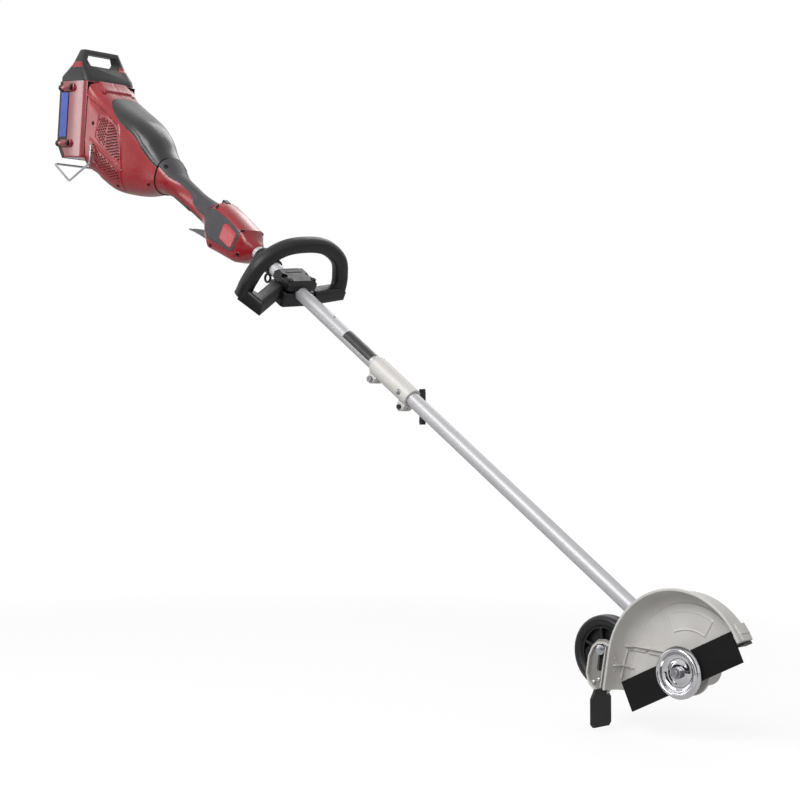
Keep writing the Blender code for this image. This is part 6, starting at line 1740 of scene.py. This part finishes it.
@dataclass
class EdgingHead:
    """Chromed cup, guard markings, wheel and bracket details, in the head frame, in mm."""

    cup_back_mm: float = 42.7
    arc_deg: Pair = (61.0, 205.0)
    skirt_mm: float = 55.0
    cut_foot_mm: Pair = (-75.0, -112.0)
    cut_way_mm: Pair = (-78.5, 63.0)
    cut_slant: float = 0.897
    plate_low_mm: float = 18.0
    plate_high_mm: float = 21.0
    plate_lift_mm: float = 2.1
    wheel_mm: Pair = (-149.0, -94.5)
    tyre_span_mm: Pair = (-40.0, -10.0)
    bracket_rim_mm: tuple = ((126.0, 3.0), (151.0, -0.5), (161.0, 2.0), (168.0, 10.0), (172.5, 24.0),
                             (172.5, 50.0), (167.0, 61.0), (151.0, 71.0), (128.0, 71.0))
    ribs_mm: tuple = ((((-100.0, -36.0), (-88.0, -28.6), (-55.0, -8.5), (-42.0, -0.5)), 2.6, 5.5),
                      (((-94.0, -39.5), (-81.0, -30.8), (-70.0, -24.2)), 2.0, 3.0),
                      (((-66.0, -22.4), (-54.8, -16.2), (-40.0, -7.5)), 2.0, 3.0),
                      (((-92.0, -63.0), (-81.0, -59.3), (-73.0, -56.8)), 2.4, 5.0),
                      (((-95.5, -37.0), (-88.0, -58.0), (-79.0, -79.0)), 2.0, 2.6),
                      (((-70.5, -25.5), (-68.0, -17.5)), 1.8, 2.4))

    def build(self) -> None:
        """Make each piece of the head."""
        self.cup()
        guard = self.guard()
        self.guard_marks(Skin.of(guard))
        self.tyre()
        self.hub_spokes()
        self.bracket_details()

    def outline_station(self, radius: ndarray, height: ndarray) -> ndarray:
        """Stations of the guard's profile: an arc round the spindle, then a straight skirt at a tangent.

        The skirt is skirt_mm long, or ends where it meets the slanting cut below the blade's spindle.

        Args:
            radius: (m,) radii in mm.
            height: (m,) heights across the head in mm.

        Returns:
            (n, m, 3) array in the head frame, in mm.
        """
        start, end = (math.radians(turn) for turn in self.arc_deg)
        turn = np.linspace(start, end, 110)[:, None]
        arc = np.stack([radius * np.cos(turn), radius * np.sin(turn),
                        np.broadcast_to(height, (110, len(height)))], axis=-1)
        c, s = math.cos(end), math.sin(end)
        aside = np.array(self.cut_way_mm) / math.hypot(*self.cut_way_mm)
        gap = (radius * c - self.cut_foot_mm[0]) * aside[0] + (radius * s - self.cut_foot_mm[1]) * aside[1]
        length = np.minimum(self.skirt_mm, np.maximum(gap, 0.0) / self.cut_slant)
        run = np.linspace(0.0, 1.0, 26)[1:, None] * length
        skirt = np.stack([radius * c - run * s, radius * s + run * c, np.broadcast_to(height, run.shape)],
                         axis=-1)
        return np.concatenate([arc, skirt])

    def along_skirt(self, spots_mm: tuple, height_mm: float = 24.0) -> ndarray:
        """Places given by their radius at the arc's end and their run along the skirt from there.

        Args:
            spots_mm: (radius, run) pairs.
            height_mm: Height across the head.

        Returns:
            (n, 3) array in the row frame.
        """
        end = math.radians(self.arc_deg[1])
        c, s = math.cos(end), math.sin(end)
        return HEAD.place_mm([(r * c - t * s, r * s + t * c, height_mm) for r, t in spots_mm])

    def guard(self) -> Object:
        """Cast guard: plate with a raised disc and sector, fillet, drafted wall and rounded rim, in one skin.

        The sector is raised where a point lies between two radii and two angles, by the least of its
        distances to them.

        Returns:
            The guard.
        """
        low = self.plate_low_mm
        face = np.linspace(92.8, low, 76)
        wall = [(low, low), (60.0, low), (108.0, low), (110.2, 20.0), (110.6, 22.5), (114.7, 51.8),
                (115.8, 52.9), (115.8, 55.6), (115.1, 56.4), (112.8, 56.4), (112.0, 55.7), (109.4, 43.0),
                (108.2, 37.0), (106.6, 32.6), (104.2, 29.0), (101.4, 26.0), (98.6, 23.6), (96.2, 22.1),
                (94.6, 21.4), (93.4, 21.1)]
        radius = np.concatenate([[r for r, _ in wall], face])
        height = np.concatenate([[w for _, w in wall], np.full(len(face), self.plate_high_mm)])
        grid = self.outline_station(radius, height)
        r = np.hypot(grid[..., 0], grid[..., 1])
        turn = np.degrees(np.arctan2(grid[..., 1], grid[..., 0])) % 360.0
        front = np.zeros(len(radius))
        front[len(wall):] = 1.0
        degree = 0.01745
        lift = np.full_like(r, self.plate_lift_mm)
        sector = np.minimum.reduce([r - 56.0, 83.0 - r, (turn - 95.0) * r * degree,
                                    (149.0 - turn) * r * degree])
        lift += 1.0 * eased((sector + 0.5) / 1.2) + 0.6 * np.exp(-((sector - 1.0) / 0.8) ** 2)
        grid[..., 2] += lift * front
        obj = surface("guard_casting", HEAD.place(grid * MM), ring_cols=True, capped=True)
        return dress(obj, Stock.CAST, "attachment", 35.0, ("blade_guard",))

    def turned(self, name: str, profile: list[Pair], steps: int, center_mm: Pair = (0.0, 0.0)) -> Object:
        """Closed ring turned about an axis across the head."""
        grid = revolve(profile, HEAD, (center_mm[0] * MM, center_mm[1] * MM, 0.0), "z", steps)
        return surface(name, grid, ring_rows=True, ring_cols=True)

    def cup(self) -> None:
        """Rolled bowl over the blade: a stepped base, a round lip with a groove, and a dished floor."""
        back = self.cup_back_mm
        lip = [(31.0 + 3.0 * math.cos(a), 50.6 + 3.0 * math.sin(a))
               for a in np.radians(np.linspace(-20.0, 130.0, 14))]
        floor = [(28.0, 51.6), (27.4, 50.4), (26.6, 48.8), (25.2, 47.0), (23.2, 45.7), (20.8, 45.0),
                 (18.4, 45.0), (16.2, 45.7), (14.6, 46.5), (13.2, 47.0), (11.0, 47.2)]
        profile = [(5.1, back), (34.0, back), (36.0, back + 0.6), (36.5, back + 1.6), (36.5, back + 3.0),
                   (35.6, back + 4.6)] + lip + floor + [(5.1, 47.2)]
        dress(self.turned("cup_bowl", profile, 96), Stock.CHROME, "spindle", 50.0, ("blade_cup",))

    def guard_marks(self, skin: Skin) -> None:
        """Ribs and pips of the guard, its stepped end pad with a dark block, and the boss round the spindle.

        Args:
            skin: The guard.
        """
        for k, (line_mm, wide, high) in enumerate(self.ribs_mm):
            line = HEAD.place_mm(lifted(line_mm, 2, 60.0))
            rib = ridge("guard_rib_%d" % k, skin, line, Side.RIGHT.inward, wide, high, DOME, 1.5)
            dress(rib, Stock.CAST, "attachment", 60.0)
        spots = np.array([(-96.0, -54.0, 45.0), (-86.0, -75.0, 43.0)])
        ways = np.array([(-0.87, -0.49, 0.0), (-0.9, -0.42, 0.0)]) @ HEAD.axes
        hits, normals = skin.drop(HEAD.place(spots * [0.85, 0.85, 1.0] * MM), ways)
        pips = stamp("guard_pips", [(0.0, -0.4), (1.8, -0.4), (1.7, 0.5), (1.1, 0.9), (0.0, 1.0)], hits,
                     normals, 16)
        dress(pips, Stock.CAST, "attachment")
        boss = self.turned("guard_boss", [(12.0, 18.2), (34.0, 18.2), (34.0, 21.9), (33.3, 22.6),
                                          (12.0, 22.6)], 72)
        dress(boss, Stock.CAST, "attachment", 40.0)
        for name, radii, heights, turns, stock in (
                ("guard_end_pad", (108.5, 116.6), (23.0, 46.0), (61.4, 74.0), Stock.CAST),
                ("guard_end_step", (109.0, 115.6), (44.0, 53.0), (61.4, 67.5), Stock.CAST),
                ("guard_end_rib", (109.0, 117.4), (23.6, 45.4), (66.2, 67.4), Stock.CAST),
                ("guard_end_bit", (101.0, 113.0), (22.0, 42.0), (59.2, 61.3), Stock.BLACK)):
            self.end_block(name, radii, heights, turns, stock)

    def end_block(self, name: str, radii: Pair, heights: Pair, turns: Pair, stock: Stock) -> None:
        """Rounded block bent along an arc round the spindle: a rectangle carried from one angle to another.

        Args:
            name: Piece name.
            radii: Least and greatest radius in mm.
            heights: Least and greatest height across the head in mm.
            turns: First and last angle in degrees.
            stock: Its finish.
        """
        ring = rounded_ring((radii[0], heights[0]), (radii[1], heights[1]), (1.0, 1.0, 1.0, 1.0), 4)
        turn = np.radians(np.linspace(turns[0], turns[1], 14))[:, None]
        grid = np.stack([ring[:, 0] * np.cos(turn), ring[:, 0] * np.sin(turn),
                         np.broadcast_to(ring[:, 1], (14, len(ring)))], axis=-1)
        obj = surface(name, HEAD.place(grid * MM), ring_cols=True, capped=True)
        soften_edges(obj, 0.5, 50.0)
        dress(obj, stock, "attachment", 40.0)

    def tyre(self) -> None:
        """Rubber tyre: rounded shoulders, two side rings and a shallow groove round the middle.

        One shoulder's profile is given, and the other is the same mirrored across the middle.
        """
        far, near = self.tyre_span_mm
        mid = 0.5 * (far + near)
        shoulder = [(38.4, 4.0), (41.5, 0.6), (44.0, 0.0), (46.6, 0.1), (47.0, 0.6), (47.6, 0.2), (50.0, 1.0),
                    (52.0, 3.2), (53.2, 6.5)]
        tread = [(53.8, mid - 3.0), (53.2, mid - 1.4), (53.2, mid + 1.4), (53.8, mid + 3.0)]
        profile = ([(r, far + depth) for r, depth in shoulder] + tread
                   + [(r, near - depth) for r, depth in shoulder[::-1]])
        dress(self.turned("tyre_ring", profile, 96, self.wheel_mm), Stock.RUBBER, "wheel", 40.0,
              ("wheel_tyre",))

    def hub_spokes(self) -> None:
        """Six ribs from the hub's boss to its rim, on both faces, each a box turned about the axis."""
        grids, faces, base = [], [], 0
        sides = ((0, 1, 3, 2), (4, 6, 7, 5), (0, 4, 5, 1), (2, 3, 7, 6), (0, 2, 6, 4), (1, 5, 7, 3))
        for k in range(6):
            turn = math.radians(60.0 * k + 12.0)
            c, s = math.cos(turn), math.sin(turn)
            for low, high in ((-36.0, -29.0), (-21.0, -14.0)):
                box = np.array([[r * c - w * s, r * s + w * c, z] for r in (11.0, 35.0) for w in (-2.2, 2.2)
                                for z in (low, high)]) * MM
                grids.append(HEAD.place(box + np.array([*self.wheel_mm, 0.0]) * MM))
                faces += [[base + corner for corner in quad] for quad in sides]
                base += len(box)
        obj = mesh_object("hub_spokes", np.concatenate(grids), faces)
        face_outwards(obj)
        soften_edges(obj, 0.8, 40.0)
        dress(obj, Stock.BLACK, "wheel")

    def bracket_details(self) -> None:
        """Raised rim inside the bracket's outline, a dark strip painted as shade in the channel between two
        ribs, and two bolts.
        """
        skin = Skin.of_nodes("wheel_bracket")
        inward = Side.RIGHT.inward
        for name, spots, wide, tall, step, stock in (
                ("bracket_rim", self.bracket_rim_mm, 3.2, 4.0, 1.5, Stock.CAST),
                # The channel's near-black strip is painted shade of the slot
                ("bracket_channel_shade", ((140.5, 4.0), (140.5, 64.0)), 6.5, 0.3, 2.0, Stock.SHADE_BLACK),
                ("bracket_inner_rib", ((145.8, 5.0), (145.8, 64.0)), 2.0, 3.0, 2.0, Stock.CAST),
                ("bracket_outer_rib", ((135.5, 5.0), (135.5, 62.0)), 2.2, 3.0, 2.0, Stock.CAST)):
            strip = ridge(name, skin, self.along_skirt(spots), inward, wide, tall, PLATE, step)
            dress(strip, stock, "attachment", 60.0)
        hits, normals = skin.drop(self.along_skirt(((151.5, 54.0), (160.0, 60.0))), inward)
        bolts = stamp("bracket_bolts", [(0.0, -0.5), (3.2, -0.5), (3.2, 1.8), (2.6, 2.6), (1.2, 3.0),
                                        (0.0, 3.0)], hits, normals, 18)
        dress(bolts, Stock.ZINC, "attachment", 50.0)


@dataclass
class TubeLabel:
    """Dark bare label over the upper right of the shaft, and a small round mark behind it."""

    span_mm: Pair = (-848.0, -774.0)
    turn_deg: Pair = (-32.0, 84.0)
    radii_mm: Pair = (12.3, 12.02)
    mark_mm: Triple = (-892.0, -1.0, 12.0)

    def build(self) -> None:
        """Make the label as part of a sleeve, and the mark."""
        turn = np.radians(np.linspace(self.turn_deg[0], self.turn_deg[1], 25))
        a = np.linspace(self.span_mm[0], self.span_mm[1], 20)
        aa, tt = np.meshgrid(a, turn, indexing="ij")
        layers = [np.stack([aa, -r * np.sin(tt), r * np.cos(tt)], axis=-1) * MM for r in self.radii_mm]
        grid = np.concatenate([layers[0], layers[1][:, ::-1]], axis=1)
        obj = surface("label_film", TOOL.place(grid), ring_cols=True, capped=True)
        dress(obj, Stock.LABEL, "power_head", 50.0, ("tube_label",))
        foot, way = TOOL.place_mm([self.mark_mm]), TOOL.toward(0.0, -0.08, 1.0)[None]
        mark = stamp("tube_mark", [(0.0, -0.3), (1.7, -0.3), (1.6, 0.3), (0.9, 0.6), (0.0, 0.6)], foot, way,
                     14)
        dress(mark, Stock.SCREW, "power_head")


# Studio
@dataclass(frozen=True)
class SoftBox:
    """Square area lamp: its name, place, side length in metres and power in watts."""

    name: str
    place: Triple
    size: float
    power: float


@dataclass
class Studio:
    """Pale floor, soft lamps, white background and the photograph's camera."""

    camera_place: Triple = (2.5053, -2.0524, -0.4213)
    camera_turn_deg: Triple = (90.931, 0.225, 44.26)
    lens_mm: float = 80.08
    film_mm: float = 36.0
    floor_drop: float = 6.0 * MM
    floor_half: float = 60.0
    floor_fade: Pair = (1.1, 2.4)
    floor_glow: float = 1.04
    fill_light: float = 0.42
    aim: Triple = (0.35, 0.0, -0.3)
    lamps_used: tuple[SoftBox, ...] = (SoftBox("key_box", (0.2, -2.6, 2.0), 1.5, 52.0),
                                       SoftBox("camera_box", (1.6, -3.1, 1.3), 1.6, 68.0),
                                       SoftBox("rim_box", (-0.6, 2.2, 1.9), 1.4, 18.0))
    dark_level: float = 0.035
    bright_level: float = 5.0

    def build(self) -> None:
        """Make the camera, floor, world, lamps and cards."""
        self.camera()
        self.floor()
        self.world()
        self.lamps()
        self.cards()

    def camera(self) -> None:
        """Camera at the photograph's viewing angle, on a square frame of film_mm."""
        data = bpy.data.cameras.new("photo_camera")
        data.lens = self.lens_mm
        data.sensor_width = self.film_mm
        data.clip_end = 50.0
        camera = bpy.data.objects.new("photo_camera", data)
        bpy.context.scene.collection.objects.link(camera)
        camera.location = self.camera_place
        camera.rotation_euler = Euler([math.radians(a) for a in self.camera_turn_deg])
        bpy.context.scene.camera = camera

    def floor(self) -> None:
        """Wide plain floor just under the lowest point, white to the camera but for the object's shadow.

        To the camera, the share of plain white rises smoothly from 0.8 to 1 with the distance from the
        origin.
        """
        low, reach = CAD_BOX[0][2] - self.floor_drop, self.floor_half
        obj = mesh_object("studio_floor", level_corners((-reach, -reach), (reach, reach), low),
                          [[0, 1, 2, 3]])
        made = bpy.data.materials.new("studio_floor_paint")
        made.use_nodes = True
        tree = made.node_tree
        shader = tree.nodes["Principled BSDF"]
        shader.inputs["Base Color"].default_value = linear("#e9e9e9")
        shader.inputs["Roughness"].default_value = 0.9
        shader.inputs["Specular IOR Level"].default_value = 0.1
        seen = add_node(tree, "ShaderNodeLightPath").outputs["Is Camera Ray"]
        place = add_node(tree, "ShaderNodeTexCoord").outputs["Object"]
        distance = add_node(tree, "ShaderNodeVectorMath", {"operation": "LENGTH"}, {0: place})
        fade = add_node(tree, "ShaderNodeMapRange", {"interpolation_type": "SMOOTHSTEP"},
                        {"Value": distance.outputs["Value"], "From Min": self.floor_fade[0],
                         "From Max": self.floor_fade[1], "To Min": 0.8, "To Max": 1.0})
        share = add_node(tree, "ShaderNodeMath", {"operation": "MULTIPLY"},
                         {0: seen, 1: fade.outputs["Result"]})
        glow = add_node(tree, "ShaderNodeEmission", None, {"Color": grey(1.0), "Strength": self.floor_glow})
        mixed = add_node(tree, "ShaderNodeMixShader", None,
                         {0: share.outputs["Value"], 1: shader.outputs["BSDF"], 2: glow.outputs["Emission"]})
        tree.links.new(mixed.outputs["Shader"], tree.nodes["Material Output"].inputs["Surface"])
        obj.data.materials.append(made)
        obj.visible_diffuse = False

    def world(self) -> None:
        """White background for camera, glossy and transmission rays, and a plain fill for the rest."""
        world = bpy.data.worlds.new("studio_world")
        bpy.context.scene.world = world
        world.use_nodes = True
        tree = world.node_tree
        path = add_node(tree, "ShaderNodeLightPath")
        first = add_node(tree, "ShaderNodeMath", {"operation": "MAXIMUM"},
                         {0: path.outputs["Is Camera Ray"], 1: path.outputs["Is Glossy Ray"]})
        shown = add_node(tree, "ShaderNodeMath", {"operation": "MAXIMUM"},
                         {0: first.outputs["Value"], 1: path.outputs["Is Transmission Ray"]})
        level = add_node(tree, "ShaderNodeMapRange", None,
                         {"Value": shown.outputs["Value"], "To Min": self.fill_light, "To Max": 1.0})
        back = tree.nodes["Background"]
        back.inputs["Color"].default_value = grey(1.0)
        tree.links.new(level.outputs["Result"], back.inputs["Strength"])

    def lamps(self) -> None:
        """Three soft boxes aimed at the object: a key from the left, one beside the camera, a rim behind."""
        for box in self.lamps_used:
            data = bpy.data.lights.new(box.name, "AREA")
            data.energy = box.power
            data.size = box.size
            lamp = bpy.data.objects.new(box.name, data)
            bpy.context.scene.collection.objects.link(lamp)
            lamp.location = box.place
            lamp.rotation_euler = (Vector(self.aim) - Vector(box.place)).to_track_quat("-Z", "Y").to_euler()

    def cards(self) -> None:
        """Cards seen only in reflections: dark for the chrome's bands, a bright one for the red gloss."""
        low = level_corners((-0.9, -2.6), (1.6, -0.75), CAD_BOX[0][2] - 0.5 * self.floor_drop)
        dark, bright = self.dark_level, self.bright_level
        for name, corners, level in (
                ("studio_card_near", card_corners((-0.7, -2.6, -0.95), 0.7, 0.3), dark),
                ("studio_card_far", card_corners((0.5, -4.2, -0.4), 1.3, 0.75), dark),
                ("studio_card_bright", card_corners((-2.85, -2.55, 0.75), 0.3, 1.0), bright),
                ("studio_card_low", low, dark)):
            made = bpy.data.materials.new(name + "_cloth")
            made.use_nodes = True
            tree = made.node_tree
            glow = add_node(tree, "ShaderNodeEmission", None, {"Color": grey(1.0), "Strength": level})
            tree.links.new(glow.outputs["Emission"], tree.nodes["Material Output"].inputs["Surface"])
            card = mesh_object(name, corners, [[0, 1, 2, 3]])
            card.data.materials.append(made)
            card.visible_camera = False
            card.visible_diffuse = False
            card.visible_transmission = False
            card.visible_shadow = False


def level_corners(low: Pair, high: Pair, height: float) -> ndarray:
    """Corners of a level rectangle."""
    return np.array([[low[0], low[1], height], [high[0], low[1], height], [high[0], high[1], height],
                     [low[0], high[1], height]])


def card_corners(middle: Triple, half: float, tall: float) -> ndarray:
    """Corners of an upright card that faces the origin from a place beside it.

    Args:
        middle: Middle of the card.
        half: Half its width.
        tall: Half its height.

    Returns:
        (4, 3) array.
    """
    aside = np.array([-middle[1], middle[0], 0.0]) / math.hypot(middle[0], middle[1]) * half
    up = np.array([0.0, 0.0, tall])
    return np.array(middle) + np.array([-aside - up, aside - up, aside + up, up - aside])


def main() -> None:
    """Build the studio and every piece."""
    logging.basicConfig(level=logging.INFO, format="%(message)s")
    bpy.context.scene.view_settings.view_transform = "Standard"
    Studio().build()
    # The wheel bracket gets the darker cast, whose grey is painted shade of its recessed face
    Carried(skip={"housing_left", "housing_right", "top_cover", "grip_overmould", "d_handle", "blade_cup",
                  "wheel_tyre", "tube_label", "battery_case", "badge_plate", "neck_isolator", "blade_guard"},
            stock={"wheel_arm": Stock.SCREW, "wheel_bracket": Stock.CAST_SHADED},
            edge_mm={"battery_cap": 1.0, "trigger": 0.8, "handle_clamp_cap": 0.8, "handle_clamp_base": 0.8,
                     "blade_nut": 0.4, "wheel_arm": 0.5}).build()
    for assembly in (Housing(), Grip(), Pack(), LoopHandle(), EdgingHead(), TubeLabel()):
        assembly.build()


if __name__ == "__main__":
    main()
